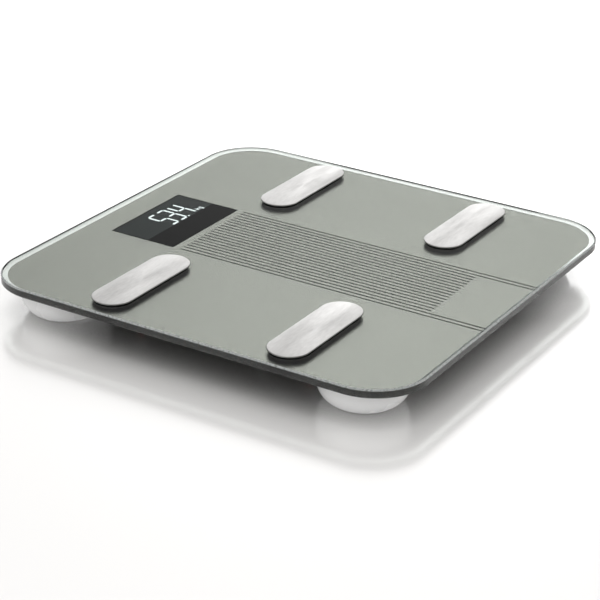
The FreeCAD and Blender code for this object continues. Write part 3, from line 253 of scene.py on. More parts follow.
def circle(centre, radius, steps):
    """The points of a circle, anticlockwise."""
    angle = np.arange(steps) * 2 * math.pi / steps
    return np.column_stack([centre[0] + radius * np.cos(angle), centre[1] + radius * np.sin(angle)])


def arris_profile(bottom, top, chamfer, rounding):
    """A ground edge as (inset, height) pairs from the underside up: a 45 degree facet at each
    arris, its two corners moved along by the rounding, and the flat wall between the facets."""
    ease = rounding
    low = [(chamfer + ease, bottom), (chamfer - ease, bottom + ease)]
    low += [(ease, bottom + chamfer - ease), (0.0, bottom + chamfer + ease)]
    high = [(inset, bottom + top - level) for inset, level in low[::-1]]
    return low + high


STUD_BORE = 0.0024
stud_places = []
for corner_name in ("toe_left", "toe_right", "heel_left", "heel_right"):
    low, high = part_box("electrode_" + corner_name)
    stud_places.append(((low.x + high.x) / 2, (low.y + high.y) / 2))
stud_bores = [circle(place, STUD_BORE, 32) for place in stud_places]
glass_size = glass_high - glass_low
glass_rim = rounded_outline((0, 0), glass_size.x, glass_size.y, CORNER, CORNER_STEPS)
glass_profile = arris_profile(glass_low.z, glass_high.z, ARRIS, ARRIS_ROUND)
glass = plate_with_edge("tempered_plate", [glass_rim], glass_profile, 12.0)

glass_material, glass_shader = new_material("float_glass", (0.96, 0.99, 0.975), 0.0)
glass_shader.inputs["IOR"].default_value = 1.52
glass_shader.inputs["Transmission Weight"].default_value = 1.0
glass_tree = glass_material.node_tree
GLASS_TINT = {"Color": (0.46, 0.53, 0.48, 1), "Density": 52.0}
tint = add_node(glass_tree, "VolumeAbsorption", GLASS_TINT)
glass_tree.links.new(tint.outputs[0], glass_tree.nodes["Material Output"].inputs["Volume"])
glass.data.materials.append(glass_material)

# Buffing leaves the upper arris a little frosted where the flat faces are clear.
arris_material, arris_shader = new_material("buffed_arris", (0.84, 0.87, 0.855), 0.3)
arris_shader.inputs["IOR"].default_value = 1.52
arris_shader.inputs["Transmission Weight"].default_value = 0.6
arris_tree = arris_material.node_tree
arris_place = add_node(arris_tree, "TexCoord").outputs["Object"]
buffed = add_node(arris_tree, "TexNoise", {"Vector": arris_place, "Scale": 900.0})
arris_haze = add_node(arris_tree, "MapRange", {0: buffed.outputs[0], 1: 0.3, 2: 0.7, 3: 0.24, 4: 0.36})
arris_tree.links.new(arris_haze.outputs[0], arris_shader.inputs["Roughness"])
arris_tint = add_node(arris_tree, "VolumeAbsorption", GLASS_TINT)
arris_tree.links.new(arris_tint.outputs[0], arris_tree.nodes["Material Output"].inputs["Volume"])
glass.data.materials.append(arris_material)
face_row = np.arange(len(glass.data.polygons)) // len(glass_rim)
flat_row = (len(glass_profile) - 1) // 2
on_arris = (face_row > flat_row) & (face_row < len(glass_profile) - 1)
glass.data.polygons.foreach_set("material_index", on_arris.astype(np.int32))
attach(glass, "platform")
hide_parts("glass_platform")


# === ink under the glass ==============================================================================
# Warm grey pearl ink, screen printed and fired on the underside, short of the edge, with the window
# and the stud holes left out. Fine mica flakes give it a faint grain, and a dark grey coat seals it.
def new_group(name, inputs, outputs):
    """An empty shader node group with named float, colour or vector sockets."""
    group = bpy.data.node_groups.new(name, "ShaderNodeTree")
    kinds = {"float": "NodeSocketFloat", "colour": "NodeSocketColor", "vector": "NodeSocketVector"}
    for label, kind, value in inputs:
        socket = group.interface.new_socket(label, in_out="INPUT", socket_type=kinds[kind])
        if value is not None:
            socket.default_value = value
    for label, kind in outputs:
        group.interface.new_socket(label, in_out="OUTPUT", socket_type=kinds[kind])
    source = group.nodes.new("NodeGroupInput").outputs
    sink = group.nodes.new("NodeGroupOutput").inputs
    return group, source, sink


def use_group(tree, group, **values):
    """The group as a node in a tree, with plain values or links on its inputs."""
    node = tree.nodes.new("ShaderNodeGroup")
    node.node_tree = group
    for label, value in values.items():
        socket = node.inputs[label.replace("_", " ")]
        if isinstance(value, bpy.types.NodeSocket):
            tree.links.new(value, socket)
        else:
            socket.default_value = value
    return node.outputs


def object_place(tree):
    """The point's place on the object, in metres."""
    return add_node(tree, "TexCoord").outputs["Object"]


# The grain group: a fine noise for flakes or spark-eroded tool texture, and a broad one for the
# slow unevenness of a printed or moulded surface.
grain, grain_in, grain_out = new_group(
    "grain",
    [("Place", "vector", None), ("Fine Scale", "float", 2000.0), ("Broad Scale", "float", 20.0)],
    [("Fine", "float"), ("Broad", "float")])
fine = add_node(grain, "TexNoise", {"Vector": grain_in["Place"], "Scale": grain_in["Fine Scale"],
                                    "Detail": 2.0, "Roughness": 0.6})
broad = add_node(grain, "TexNoise", {"Vector": grain_in["Place"], "Scale": grain_in["Broad Scale"],
                                     "Detail": 3.0, "Roughness": 0.5})
grain.links.new(fine.outputs[0], grain_out["Fine"])
grain.links.new(broad.outputs[0], grain_out["Broad"])


def mix_colours(tree, factor, low_colour, high_colour):
    """A colour between two, by a factor from nodes."""
    node = add_node(tree, "Mix", data_type="RGBA")
    tree.links.new(factor, node.inputs[0])
    node.inputs[6].default_value = (*low_colour, 1)
    node.inputs[7].default_value = (*high_colour, 1)
    return node.outputs[2]


def spread(tree, value, low, high, to_low, to_high):
    """A value from one range mapped onto another, held at its ends."""
    return add_node(tree, "MapRange", {0: value, 1: low, 2: high, 3: to_low, 4: to_high}).outputs[0]


def bump(tree, shader, height_value, strength_value, distance):
    """Fine relief on a shader's normal."""
    relief = {"Height": height_value, "Strength": strength_value, "Distance": distance}
    node = add_node(tree, "Bump", relief)
    tree.links.new(node.outputs[0], shader.inputs["Normal"])


ink_low, ink_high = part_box("back_ink")
mask_low, mask_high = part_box("window_mask")
ink_size = ink_high - ink_low
INK_CORNER = CORNER - (glass_size.x - ink_size.x) / 2
ink_rim = rounded_outline((0, 0), ink_size.x, ink_size.y, INK_CORNER, CORNER_STEPS)
window_middle = ((mask_low.x + mask_high.x) / 2, (mask_low.y + mask_high.y) / 2)
WINDOW_CORNER = 0.0006
window_rim = rounded_outline(window_middle, mask_high.x - mask_low.x, mask_high.y - mask_low.y,
                             WINDOW_CORNER, 4)
ink_profile = [(0.0, ink_low.z), (0.0, ink_high.z + INTO_GLASS)]
ink = plate_with_edge("pearl_ink", [ink_rim, window_rim] + stud_bores, ink_profile)
ink_material, ink_shader = new_material("pearl_ink", (0.55, 0.53, 0.50), 0.23, 1.0)
tree = ink_material.node_tree
flakes = use_group(tree, grain, Place=object_place(tree), Fine_Scale=1300.0, Broad_Scale=9.0)
glint = spread(tree, flakes["Fine"], 0.35, 0.68, 0.0, 1.0)
pearl = mix_colours(tree, glint, (0.445, 0.430, 0.408), (0.53, 0.512, 0.487))
facing = add_node(tree, "SeparateXYZ", {0: add_node(tree, "NewGeometry").outputs["Normal"]}).outputs["Z"]
sealed = spread(tree, facing, -0.6, -0.4, 1.0, 0.0)
backed = add_node(tree, "Mix", {0: sealed, 6: pearl, 7: (0.085, 0.085, 0.083, 1)},
                  data_type="RGBA").outputs[2]
tree.links.new(backed, ink_shader.inputs["Base Color"])
ink.data.materials.append(ink_material)
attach(ink, "platform")
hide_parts("back_ink")

# Black ink goes on the glass first: the rules across the middle and the mask round the display.
# The grey coat runs over the rules from behind.
line_low, line_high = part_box("ruled_lines")
RULE_COUNT = 20
RULE_WIDTH = 0.0011
LONG_RULES = 2
SHORT_END = 0.0423
rule_x = np.linspace(line_low.x + RULE_WIDTH / 2, line_high.x - RULE_WIDTH / 2, RULE_COUNT)
short = np.minimum(np.arange(RULE_COUNT), np.arange(RULE_COUNT)[::-1]) >= LONG_RULES
rule_heel = np.where(short, line_low.y + SHORT_END, line_low.y)
box_base = [(-1, 0), (1, 0), (1, 1), (-1, 1)]
box_sides = np.array([(x, y, z) for z in (0, 1) for x, y in box_base])
box_walls = [(corner, (corner + 1) % 4, (corner + 1) % 4 + 4, corner + 4) for corner in range(4)]
box_faces = np.array([(3, 2, 1, 0), (4, 5, 6, 7)] + box_walls)
RULE_BACKING = 0.00005
rule_base = ink_low.z + RULE_BACKING
rule_points = np.stack([
    rule_x[:, None] + box_sides[:, 0] * RULE_WIDTH / 2,
    rule_heel[:, None] + box_sides[:, 1] * (line_high.y - rule_heel)[:, None],
    rule_base + box_sides[:, 2] * (ink_high.z + 2 * INTO_GLASS - rule_base) + 0 * rule_x[:, None]], axis=-1)
rule_faces = (np.arange(RULE_COUNT)[:, None, None] * 8 + box_faces).reshape(-1, 4)
rules = add_mesh("printed_rules", rule_points.reshape(-1, 3), rule_faces.tolist())
black_ink, black_shader = new_material("black_ink", (0.012, 0.012, 0.012), 0.5)
tree = black_ink.node_tree
pinholes = use_group(tree, grain, Place=object_place(tree), Fine_Scale=3200.0, Broad_Scale=60.0)
tree.links.new(mix_colours(tree, pinholes["Fine"], (0.004, 0.004, 0.0045), (0.012, 0.012, 0.0115)),
               black_shader.inputs["Base Color"])
black_shader.inputs["Specular IOR Level"].default_value = 0.02
rules.data.materials.append(black_ink)
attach(rules, "platform")
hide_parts("ruled_lines")

READOUT_BORDER = 0.0010
READOUT_LENGTH = 0.0284
readout_width = mask_high.x - mask_low.x - 2 * READOUT_BORDER
readout_middle = (window_middle[0], mask_high.y - READOUT_BORDER - READOUT_LENGTH / 2)
readout_rim = rounded_outline(readout_middle, readout_width, READOUT_LENGTH, WINDOW_CORNER, 4)
mask = plate_with_edge("window_mask_print", [window_rim, readout_rim],
                       [(0.0, ink_low.z), (0.0, ink_high.z + 2 * INTO_GLASS)])
mask.data.materials.append(black_ink)
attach(mask, "platform")
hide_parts("window_mask")


# === electrodes =====================================================================================
# Four round-ended plates of stainless steel that the bare feet stand on, blanked, brushed along
# their length and crowned a little at the rim by the blanking die.
brushing, brushing_in, brushing_out = new_group(
    "brushing",
    [("Place", "vector", None), ("Stretch", "vector", (160.0, 1100.0, 1100.0))],
    [("Lines", "float"), ("Bands", "float")])
stretched = add_node(brushing, "VectorMath", {0: brushing_in["Place"], 1: brushing_in["Stretch"]},
                     operation="MULTIPLY").outputs[0]
scratches = add_node(brushing, "TexNoise", {"Vector": stretched, "Scale": 1.0, "Detail": 3.0,
                                            "Roughness": 0.65})
wide_bands = add_node(brushing, "TexNoise", {"Vector": stretched, "Scale": 0.13, "Detail": 2.0})
brushing.links.new(scratches.outputs[0], brushing_out["Lines"])
brushing.links.new(wide_bands.outputs[0], brushing_out["Bands"])

steel, steel_shader = new_material("brushed_stainless", (0.78, 0.77, 0.75), 0.3, 1.0)
tree = steel.node_tree
brushed = use_group(tree, brushing, Place=object_place(tree))
tree.links.new(mix_colours(tree, brushed["Lines"], (0.28, 0.276, 0.270), (0.49, 0.483, 0.474)),
               steel_shader.inputs["Base Color"])
tree.links.new(spread(tree, brushed["Bands"], 0.3, 0.7, 0.34, 0.46), steel_shader.inputs["Roughness"])
bump(tree, steel_shader, brushed["Lines"], 0.35, 0.00004)
steel_shader.inputs["Anisotropic"].default_value = 0.5

RIM_STEPS = 8
EDGE_ROUND = 0.00045
BURR_TAKEN_OFF = 0.0001
for corner_name, place in zip(("toe_left", "toe_right", "heel_left", "heel_right"), stud_places):
    low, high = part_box("electrode_" + corner_name)
    rim = rounded_outline(place, high.x - low.x, high.y - low.y, (high.y - low.y) / 2, 36)
    bend = np.linspace(0, math.pi / 2, RIM_STEPS)
    rounded = zip(EDGE_ROUND * (1 - np.cos(bend)), high.z - EDGE_ROUND * (1 - np.sin(bend)))
    plate = plate_with_edge("electrode_plate_" + corner_name, [rim],
                            [(BURR_TAKEN_OFF, low.z), (0.0, low.z + BURR_TAKEN_OFF)] + list(rounded))
    plate.data.materials.append(steel)
    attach(plate, "platform")
    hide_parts("electrode_" + corner_name)


def dress(material, *names):
    """Put a material on CAD nodes."""
    for name in names:
        nodes[name].data.materials.clear()
        nodes[name].data.materials.append(material)


# Each plate sits on a black foam pad that seals its stud hole.
foam, foam_shader = new_material("black_foam", (0.015, 0.015, 0.015), 0.85)
tree = foam.node_tree
cells = use_group(tree, grain, Place=object_place(tree), Fine_Scale=3000.0, Broad_Scale=120.0)
tree.links.new(mix_colours(tree, cells["Fine"], (0.008, 0.008, 0.008), (0.035, 0.035, 0.035)),
               foam_shader.inputs["Base Color"])
bump(tree, foam_shader, cells["Fine"], 0.5, 0.0001)
dress(foam, "electrode_pads", "display_gasket", "housing_tape", "foot_tapes")


# === display ========================================================================================
# A negative liquid-crystal display behind the window: a dark cell that leaks a little of its
# backlight, and lit white segments.
cell_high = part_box("display_cell")[1]
lcd, lcd_shader = new_material("display_cell", (0.035, 0.045, 0.046), 0.25)
tree = lcd.node_tree
leak = use_group(tree, grain, Place=object_place(tree), Fine_Scale=1800.0, Broad_Scale=40.0)
tree.links.new(mix_colours(tree, leak["Broad"], (0.100, 0.122, 0.122), (0.135, 0.160, 0.160)),
               lcd_shader.inputs["Emission Color"])
lcd_shader.inputs["Emission Strength"].default_value = 1.0
lcd_shader.inputs["Specular IOR Level"].default_value = 0.1
dress(lcd, "display_cell")
DIGIT_HEIGHT = 0.0220
DIGIT_WIDTH = 0.0086
STROKE = 0.0017
SEGMENT_GAP = 0.00025
SEGMENT_RISE = 0.00004
FIRST_DIGIT_X = -0.0030
DIGIT_BASE_Y = 0.1014
DIGIT_PITCH = 0.0100
SEGMENT_ENDS = {
    "a": ((0, 2), (1, 2)), "b": ((1, 1), (1, 2)), "c": ((1, 0), (1, 1)), "d": ((0, 0), (1, 0)),
    "e": ((0, 0), (0, 1)), "f": ((0, 1), (0, 2)), "g": ((0, 1), (1, 1))}
DIGIT_SEGMENTS = {"5": "afgcd", "3": "abgcd", "4": "fgbc"}


def bar(start, end, width, gap):
    """A segment with pointed ends: a long hexagon from start to end, short of both by a gap."""
    along = (end - start) / np.linalg.norm(end - start)
    across = np.array([-along[1], along[0]]) * width / 2
    first, last = start + along * gap, end - along * gap
    nose = along * width / 2
    return np.array([first, first + nose - across, last - nose - across, last, last - nose + across,
                     first + nose + across])


lit = []
LAST_COLUMN = 2.15
POINT_COLUMN = 1.58
for column, digit in ((0, "5"), (1, "3"), (LAST_COLUMN, "4")):
    corner = np.array([FIRST_DIGIT_X - DIGIT_WIDTH / 2 + column * DIGIT_PITCH, DIGIT_BASE_Y])
    inner = np.array([DIGIT_WIDTH - STROKE, (DIGIT_HEIGHT - STROKE) / 2])
    for segment in DIGIT_SEGMENTS[digit]:
        start, end = (corner + STROKE / 2 + np.array(spot) * inner for spot in SEGMENT_ENDS[segment])
        lit.append(bar(start, end, STROKE, SEGMENT_GAP))
point_x = FIRST_DIGIT_X + POINT_COLUMN * DIGIT_PITCH
lit.append(circle((point_x, DIGIT_BASE_Y + STROKE / 2), STROKE * 0.55, 6))
UNIT_STROKE = 0.0007
UNIT_CORNER = np.array([0.0252, 0.1024])
UNIT_STROKES = [
    ((0.0, 0.0), (0.0, 3.8)), ((0.2, 1.2), (1.8, 2.6)), ((0.7, 1.7), (1.9, 0.0)),
    ((3.2, 0.2), (3.2, 2.6)), ((3.2, 2.6), (4.8, 2.6)), ((3.2, 0.2), (4.8, 0.2)),
    ((4.8, -1.2), (4.8, 2.6)), ((3.2, -1.2), (4.8, -1.2))]
MILLIMETRE = 0.001
for ends in UNIT_STROKES:
    start, end = (UNIT_CORNER + np.array(spot) * MILLIMETRE for spot in ends)
    lit.append(bar(start, end, UNIT_STROKE, 0.0))
lit = np.array(lit)
lit_z = cell_high.z + SEGMENT_RISE
lit_points = np.concatenate([lit, np.full(lit.shape[:2] + (1,), lit_z)], axis=-1).reshape(-1, 3)
lit_faces = np.arange(len(lit) * 6).reshape(-1, 6).tolist()
digits = add_mesh("lit_digits", lit_points, lit_faces)
glow_material, glow_shader = new_material("lit_segment", (0.9, 0.95, 0.95), 0.5)
glow_shader.inputs["Emission Color"].default_value = (0.92, 0.97, 1.0, 1)
glow_shader.inputs["Emission Strength"].default_value = 8.0
digits.data.materials.append(glow_material)
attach(digits, "platform")

# A smoke-grey film is printed over the readout, so that little but the lit segments shows through.
film_z = ink_high.z + INTO_GLASS
film_points = np.column_stack([readout_rim, np.full(len(readout_rim), film_z)])
film = add_mesh("smoked_film", film_points, [tuple(range(len(readout_rim)))])
smoked, smoked_shader = new_material("smoked_film", (0.004, 0.004, 0.004), 0.5)
smoked_shader.inputs["Specular IOR Level"].default_value = 0.0
tree = smoked.node_tree
screen = use_group(tree, grain, Place=object_place(tree), Fine_Scale=3200.0, Broad_Scale=60.0)
tree.links.new(spread(tree, screen["Fine"], 0.3, 0.7, 0.76, 0.80), smoked_shader.inputs["Alpha"])
film.data.materials.append(smoked)
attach(film, "platform")


# === feet ===========================================================================================
# Four cups are injection-moulded in white ABS, polished outside and taped to the glass over a load
# cell. A grey pad slides in the mouth of each cup and carries a rubber sole.
white_abs, white_shader = new_material("white_abs", (0.84, 0.84, 0.835), 0.28)
tree = white_abs.node_tree
skin = use_group(tree, grain, Place=object_place(tree), Fine_Scale=1800.0, Broad_Scale=45.0)
tree.links.new(mix_colours(tree, skin["Broad"], (0.80, 0.80, 0.797), (0.88, 0.88, 0.876)),
               white_shader.inputs["Base Color"])
tree.links.new(spread(tree, skin["Broad"], 0.3, 0.7, 0.22, 0.32), white_shader.inputs["Roughness"])
bump(tree, white_shader, skin["Fine"], 0.12, 0.00003)

grey_abs, grey_shader = new_material("grey_abs", (0.46, 0.47, 0.47), 0.5)
tree = grey_abs.node_tree
skin = use_group(tree, grain, Place=object_place(tree), Fine_Scale=2400.0, Broad_Scale=70.0)
tree.links.new(mix_colours(tree, skin["Fine"], (0.42, 0.43, 0.43), (0.52, 0.53, 0.53)),
               grey_shader.inputs["Base Color"])
tree.links.new(spread(tree, skin["Broad"], 0.3, 0.7, 0.42, 0.56), grey_shader.inputs["Roughness"])
bump(tree, grey_shader, skin["Fine"], 0.4, 0.00006)

# The rubber picks up pale dust where it meets the floor.
DUST_HEIGHT = 0.0007
sole_rubber, sole_shader = new_material("sole_rubber", (0.12, 0.12, 0.12), 0.75)
tree = sole_rubber.node_tree
place = object_place(tree)
skin = use_group(tree, grain, Place=place, Fine_Scale=1500.0, Broad_Scale=160.0)
above_floor = add_node(tree, "SeparateXYZ", {0: place}).outputs["Z"]
low_part = spread(tree, above_floor, 0.0, DUST_HEIGHT, 1.0, 0.0)
dusty = add_node(tree, "Math", {0: low_part, 1: skin["Broad"]}, operation="MULTIPLY").outputs[0]
tree.links.new(mix_colours(tree, dusty, (0.105, 0.105, 0.108), (0.33, 0.325, 0.31)),
               sole_shader.inputs["Base Color"])
tree.links.new(spread(tree, dusty, 0.0, 0.5, 0.62, 0.9), sole_shader.inputs["Roughness"])
bump(tree, sole_shader, skin["Fine"], 0.5, 0.0001)
for corner_name in ("toe_left", "toe_right", "heel_left", "heel_right"):
    dress(white_abs, "foot_cup_" + corner_name)
    dress(grey_abs, "foot_pad_" + corner_name)
    dress(sole_rubber, "foot_sole_" + corner_name)


# === load cells =======================================================================================
# Each is blanked from 2 mm spring steel with a tongue cut free on three sides, left with its rolled
# grain and a thin film of oil. A foil strain gauge on amber film is bonded at the root of the tongue.
cell_steel, cell_shader = new_material("cell_steel", (0.42, 0.42, 0.43), 0.36, 1.0)
tree = cell_steel.node_tree
place = object_place(tree)
rolled = use_group(tree, brushing, Place=place, Stretch=(900.0, 18.0, 900.0))
oil = use_group(tree, grain, Place=place, Fine_Scale=900.0, Broad_Scale=55.0)
stain = add_node(tree, "Math", {0: rolled["Lines"], 1: oil["Broad"]}, operation="MULTIPLY").outputs[0]
stain = spread(tree, stain, 0.1, 0.45, 0.0, 1.0)
tree.links.new(mix_colours(tree, stain, (0.34, 0.33, 0.32), (0.50, 0.50, 0.51)),
               cell_shader.inputs["Base Color"])
tree.links.new(spread(tree, oil["Broad"], 0.3, 0.7, 0.27, 0.44), cell_shader.inputs["Roughness"])
bump(tree, cell_shader, rolled["Lines"], 0.3, 0.00004)
for corner_name in ("toe_left", "toe_right", "heel_left", "heel_right"):
    dress(cell_steel, "load_cell_" + corner_name)

GRID_SCALE = 120.0
gauge_film, gauge_shader = new_material("gauge_film", (0.60, 0.33, 0.08), 0.35)
tree = gauge_film.node_tree
place = object_place(tree)
foil = add_node(tree, "TexWave", {"Vector": place, "Scale": GRID_SCALE}, bands_direction="X").outputs["Fac"]
foil_lines = spread(tree, foil, 0.45, 0.55, 0.0, 1.0)
tree.links.new(mix_colours(tree, foil_lines, (0.60, 0.33, 0.08), (0.42, 0.30, 0.17)),
               gauge_shader.inputs["Base Color"])
tree.links.new(spread(tree, foil_lines, 0.0, 1.0, 0.0, 0.7), gauge_shader.inputs["Metallic"])
gauge_shader.inputs["Coat Weight"].default_value = 0.8
gauge_shader.inputs["Coat Roughness"].default_value = 0.15
dress(gauge_film, "strain_gauges")


# === screws, nuts and lugs ==========================================================================
# Small steel hardware, barrel plated with bright zinc, so its colour wanders from warm to blue and
# its corners show tumbling marks. Contact parts are nickel plated instead.
zinc, zinc_shader = new_material("zinc_plate", (0.62, 0.62, 0.60), 0.28, 1.0)
tree = zinc.node_tree
tumbled = use_group(tree, grain, Place=object_place(tree), Fine_Scale=1600.0, Broad_Scale=260.0)
tree.links.new(mix_colours(tree, tumbled["Broad"], (0.66, 0.64, 0.58), (0.56, 0.60, 0.66)),
               zinc_shader.inputs["Base Color"])
tree.links.new(spread(tree, tumbled["Fine"], 0.3, 0.7, 0.20, 0.38), zinc_shader.inputs["Roughness"])
bump(tree, zinc_shader, tumbled["Fine"], 0.25, 0.00004)
dress(zinc, "electrode_studs", "electrode_nuts", "electrode_lugs", "cover_screws", "board_screws",
      "load_cell_screws")

nickel, nickel_shader = new_material("nickel_plate", (0.70, 0.67, 0.62), 0.2, 1.0)
tree = nickel.node_tree
drawn = use_group(tree, grain, Place=object_place(tree), Fine_Scale=2200.0, Broad_Scale=180.0)
tree.links.new(mix_colours(tree, drawn["Broad"], (0.66, 0.63, 0.57), (0.75, 0.73, 0.69)),
               nickel_shader.inputs["Base Color"])
tree.links.new(spread(tree, drawn["Fine"], 0.3, 0.7, 0.14, 0.28), nickel_shader.inputs["Roughness"])
bump(tree, nickel_shader, drawn["Fine"], 0.15, 0.00003)
dress(nickel, "battery_plates", "battery_springs", "display_pins")


# === electronics housing ============================================================================
# Frame, cover, door, display bezel and cable clips are moulded in black ABS from spark-eroded tools,
# which leaves a fine matt grain. The frame is taped to the ink, and the cover screws up to it.
black_abs, black_abs_shader = new_material("black_abs", (0.022, 0.022, 0.024), 0.5)
tree = black_abs.node_tree
spark = use_group(tree, grain, Place=object_place(tree), Fine_Scale=1700.0, Broad_Scale=35.0)
tree.links.new(mix_colours(tree, spark["Fine"], (0.016, 0.016, 0.018), (0.034, 0.034, 0.036)),
               black_abs_shader.inputs["Base Color"])
tree.links.new(spread(tree, spark["Broad"], 0.3, 0.7, 0.42, 0.56), black_abs_shader.inputs["Roughness"])
bump(tree, black_abs_shader, spark["Fine"], 0.55, 0.00008)
dress(black_abs, "electronics_frame", "electronics_cover", "battery_door", "display_bezel", "cable_clips",
      "button_switch")


# === unit button ====================================================================================
# A round grey cap stands in a hole of the cover, and its stem pushes the plunger of a small switch.
button_plastic, button_shader = new_material("button_plastic", (0.40, 0.41, 0.42), 0.34)
tree = button_plastic.node_tree
skin = use_group(tree, grain, Place=object_place(tree), Fine_Scale=2600.0, Broad_Scale=150.0)
tree.links.new(mix_colours(tree, skin["Broad"], (0.37, 0.38, 0.39), (0.44, 0.45, 0.46)),
               button_shader.inputs["Base Color"])
tree.links.new(spread(tree, skin["Fine"], 0.3, 0.7, 0.28, 0.42), button_shader.inputs["Roughness"])
bump(tree, button_shader, skin["Fine"], 0.2, 0.00004)
dress(button_plastic, "unit_button", "switch_plunger")


# === backlight ======================================================================================
# A frosted acrylic plate spreads the light of its lamps behind the cell. Rows of printed dots on it
# let the light out.
DOT_SCALE = 900.0
backlight, backlight_shader = new_material("light_guide", (0.86, 0.88, 0.90), 0.35)
tree = backlight.node_tree
dots = add_node(tree, "TexVoronoi", {"Vector": object_place(tree), "Scale": DOT_SCALE, "Randomness": 0.0})
dot_mask = spread(tree, dots.outputs["Distance"], 0.22, 0.30, 1.0, 0.0)
tree.links.new(mix_colours(tree, dot_mask, (0.80, 0.83, 0.86), (0.93, 0.94, 0.95)),
               backlight_shader.inputs["Base Color"])
tree.links.new(spread(tree, dot_mask, 0.0, 1.0, 0.22, 0.6), backlight_shader.inputs["Roughness"])
dress(backlight, "backlight")


# === main board =====================================================================================
# Glass-epoxy board under green solder mask, its copper tracks showing as paler lines that run one way
# or the other from patch to patch.
TRACK_SCALE = 62.0
PATCH_SCALE = 110.0
board, board_shader = new_material("solder_mask", (0.02, 0.13, 0.04), 0.3)
tree = board.node_tree
place = object_place(tree)
track_wave = {"Vector": place, "Scale": TRACK_SCALE}
across = add_node(tree, "TexWave", track_wave, bands_direction="X").outputs["Fac"]
along = add_node(tree, "TexWave", track_wave, bands_direction="Y").outputs["Fac"]
patches = add_node(tree, "TexVoronoi", {"Vector": place, "Scale": PATCH_SCALE},
                   distance="CHEBYCHEV").outputs["Color"]
turned = spread(tree, add_node(tree, "SeparateXYZ", {0: patches}).outputs["X"], 0.49, 0.51, 0.0, 1.0)
tracks = add_node(tree, "Mix", {0: turned, 2: across, 3: along}).outputs[0]
copper = spread(tree, tracks, 0.68, 0.74, 0.0, 1.0)
tree.links.new(mix_colours(tree, copper, (0.012, 0.085, 0.028), (0.035, 0.19, 0.065)),
               board_shader.inputs["Base Color"])
bump(tree, board_shader, copper, 0.3, 0.00005)
board_shader.inputs["Coat Weight"].default_value = 0.5
board_shader.inputs["Coat Roughness"].default_value = 0.12
dress(board, "main_board")

# Soldered under it are epoxy packages, a steel-cased crystal, three aluminium cans in black sleeves
# and a row of ceramic capacitors.
part_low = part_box("board_components")[0]
CAN_END = 0.0003
CRYSTAL_LOW = (0.0144, 0.1146)
CRYSTAL_HIGH = (0.0256, 0.1194)
CERAMIC_Y = 0.1255
packages, package_shader = new_material("board_parts", (0.025, 0.025, 0.026), 0.45)
tree = packages.node_tree
place = object_place(tree)
spot = add_node(tree, "SeparateXYZ", {0: place}).outputs


def inside(tree, value, low, high):
    """One where a value lies between two limits, nought elsewhere: the product of two comparisons."""
    over = add_node(tree, "Math", {0: value, 1: low}, operation="GREATER_THAN").outputs[0]
    under = add_node(tree, "Math", {0: value, 1: high}, operation="LESS_THAN").outputs[0]
    return add_node(tree, "Math", {0: over, 1: under}, operation="MULTIPLY").outputs[0]


can_end = add_node(tree, "Math", {0: spot["Z"], 1: part_low.z + CAN_END},
                   operation="LESS_THAN").outputs[0]
crystal_x = inside(tree, spot["X"], CRYSTAL_LOW[0], CRYSTAL_HIGH[0])
crystal_y = inside(tree, spot["Y"], CRYSTAL_LOW[1], CRYSTAL_HIGH[1])
crystal = add_node(tree, "Math", {0: crystal_x, 1: crystal_y}, operation="MULTIPLY").outputs[0]
metal = add_node(tree, "Math", {0: can_end, 1: crystal}, operation="MAXIMUM").outputs[0]
ceramic = add_node(tree, "Math", {0: spot["Y"], 1: CERAMIC_Y}, operation="GREATER_THAN").outputs[0]
resin = use_group(tree, grain, Place=place, Fine_Scale=3000.0, Broad_Scale=200.0)
epoxy = mix_colours(tree, resin["Fine"], (0.018, 0.018, 0.019), (0.042, 0.042, 0.043))
with_metal = add_node(tree, "Mix", {0: metal, 6: epoxy, 7: (0.68, 0.68, 0.67, 1)},
                      data_type="RGBA").outputs[2]
with_ceramic = add_node(tree, "Mix", {0: ceramic, 6: with_metal, 7: (0.42, 0.30, 0.19, 1)},
                        data_type="RGBA").outputs[2]
tree.links.new(with_ceramic, package_shader.inputs["Base Color"])
tree.links.new(metal, package_shader.inputs["Metallic"])
tree.links.new(spread(tree, metal, 0.0, 1.0, 0.45, 0.25), package_shader.inputs["Roughness"])
bump(tree, package_shader, resin["Fine"], 0.3, 0.00004)
dress(packages, "board_components")

nylon, nylon_shader = new_material("socket_nylon", (0.80, 0.76, 0.66), 0.42)
tree = nylon.node_tree
skin = use_group(tree, grain, Place=object_place(tree), Fine_Scale=1500.0, Broad_Scale=120.0)
tree.links.new(mix_colours(tree, skin["Broad"], (0.76, 0.72, 0.61), (0.84, 0.81, 0.72)),
               nylon_shader.inputs["Base Color"])
bump(tree, nylon_shader, skin["Fine"], 0.2, 0.00004)
dress(nylon, "wire_sockets")


# === batteries ======================================================================================
# AAA cells: a plated steel can in a plain printed film jacket that stops short of both ends, with a
# pale band at the plus end. The middle cell lies the other way round.
JACKET_MARGIN = 0.0007
PLUS_BAND = 0.0085


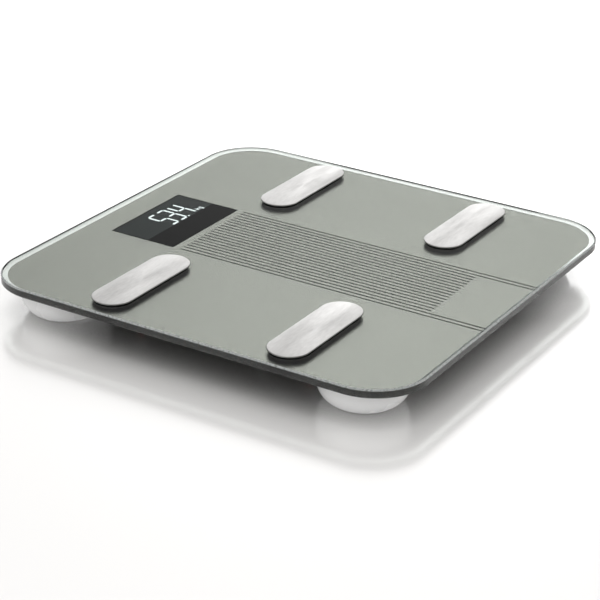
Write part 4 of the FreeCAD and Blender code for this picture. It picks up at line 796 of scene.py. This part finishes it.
def jacket(name, plus_sign, low_end, high_end):
    """A jacket's colours by the place along the cell: bare can past the film's edges, band, film."""
    material, shader = new_material(name, (0.05, 0.08, 0.2), 0.3)
    tree = material.node_tree
    place = object_place(tree)
    x = add_node(tree, "SeparateXYZ", {0: place}).outputs["X"]
    film = inside(tree, x, low_end + JACKET_MARGIN, high_end - JACKET_MARGIN)
    if plus_sign > 0:
        band = inside(tree, x, high_end - PLUS_BAND, high_end)
    else:
        band = inside(tree, x, low_end, low_end + PLUS_BAND)
    print_grain = use_group(tree, grain, Place=place, Fine_Scale=2500.0, Broad_Scale=90.0)
    blue = mix_colours(tree, print_grain["Fine"], (0.030, 0.045, 0.12), (0.045, 0.065, 0.16))
    printed = add_node(tree, "Mix", {0: band, 6: blue, 7: (0.50, 0.51, 0.53, 1)},
                       data_type="RGBA").outputs[2]
    whole = add_node(tree, "Mix", {0: film, 6: (0.70, 0.69, 0.66, 1), 7: printed},
                     data_type="RGBA").outputs[2]
    tree.links.new(whole, shader.inputs["Base Color"])
    tree.links.new(spread(tree, film, 0.0, 1.0, 1.0, 0.35), shader.inputs["Metallic"])
    tree.links.new(spread(tree, print_grain["Broad"], 0.3, 0.7, 0.22, 0.34), shader.inputs["Roughness"])
    return material


NUB = 0.0008
for battery_name, plus_sign in (("battery_1", 1), ("battery_2", -1), ("battery_3", 1)):
    low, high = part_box(battery_name)
    can_low = low.x + (NUB if plus_sign < 0 else 0.0)
    can_high = high.x - (NUB if plus_sign > 0 else 0.0)
    dress(jacket(battery_name + "_jacket", plus_sign, can_low, can_high), battery_name)


# === wiring =========================================================================================
# Grey PVC leads run from each load cell and red single wires from each electrode to the board, held
# by clips that are taped to the ink.
grey_pvc, grey_pvc_shader = new_material("grey_pvc", (0.20, 0.20, 0.205), 0.42)
tree = grey_pvc.node_tree
skin = use_group(tree, grain, Place=object_place(tree), Fine_Scale=1400.0, Broad_Scale=60.0)
tree.links.new(mix_colours(tree, skin["Broad"], (0.17, 0.17, 0.175), (0.24, 0.24, 0.245)),
               grey_pvc_shader.inputs["Base Color"])
bump(tree, grey_pvc_shader, skin["Fine"], 0.3, 0.00005)
dress(grey_pvc, "load_cell_cables")

red_pvc, red_pvc_shader = new_material("red_pvc", (0.38, 0.02, 0.015), 0.36)
tree = red_pvc.node_tree
skin = use_group(tree, grain, Place=object_place(tree), Fine_Scale=1400.0, Broad_Scale=60.0)
tree.links.new(mix_colours(tree, skin["Broad"], (0.32, 0.016, 0.012), (0.44, 0.028, 0.02)),
               red_pvc_shader.inputs["Base Color"])
bump(tree, red_pvc_shader, skin["Fine"], 0.3, 0.00005)
dress(red_pvc, "electrode_wires")
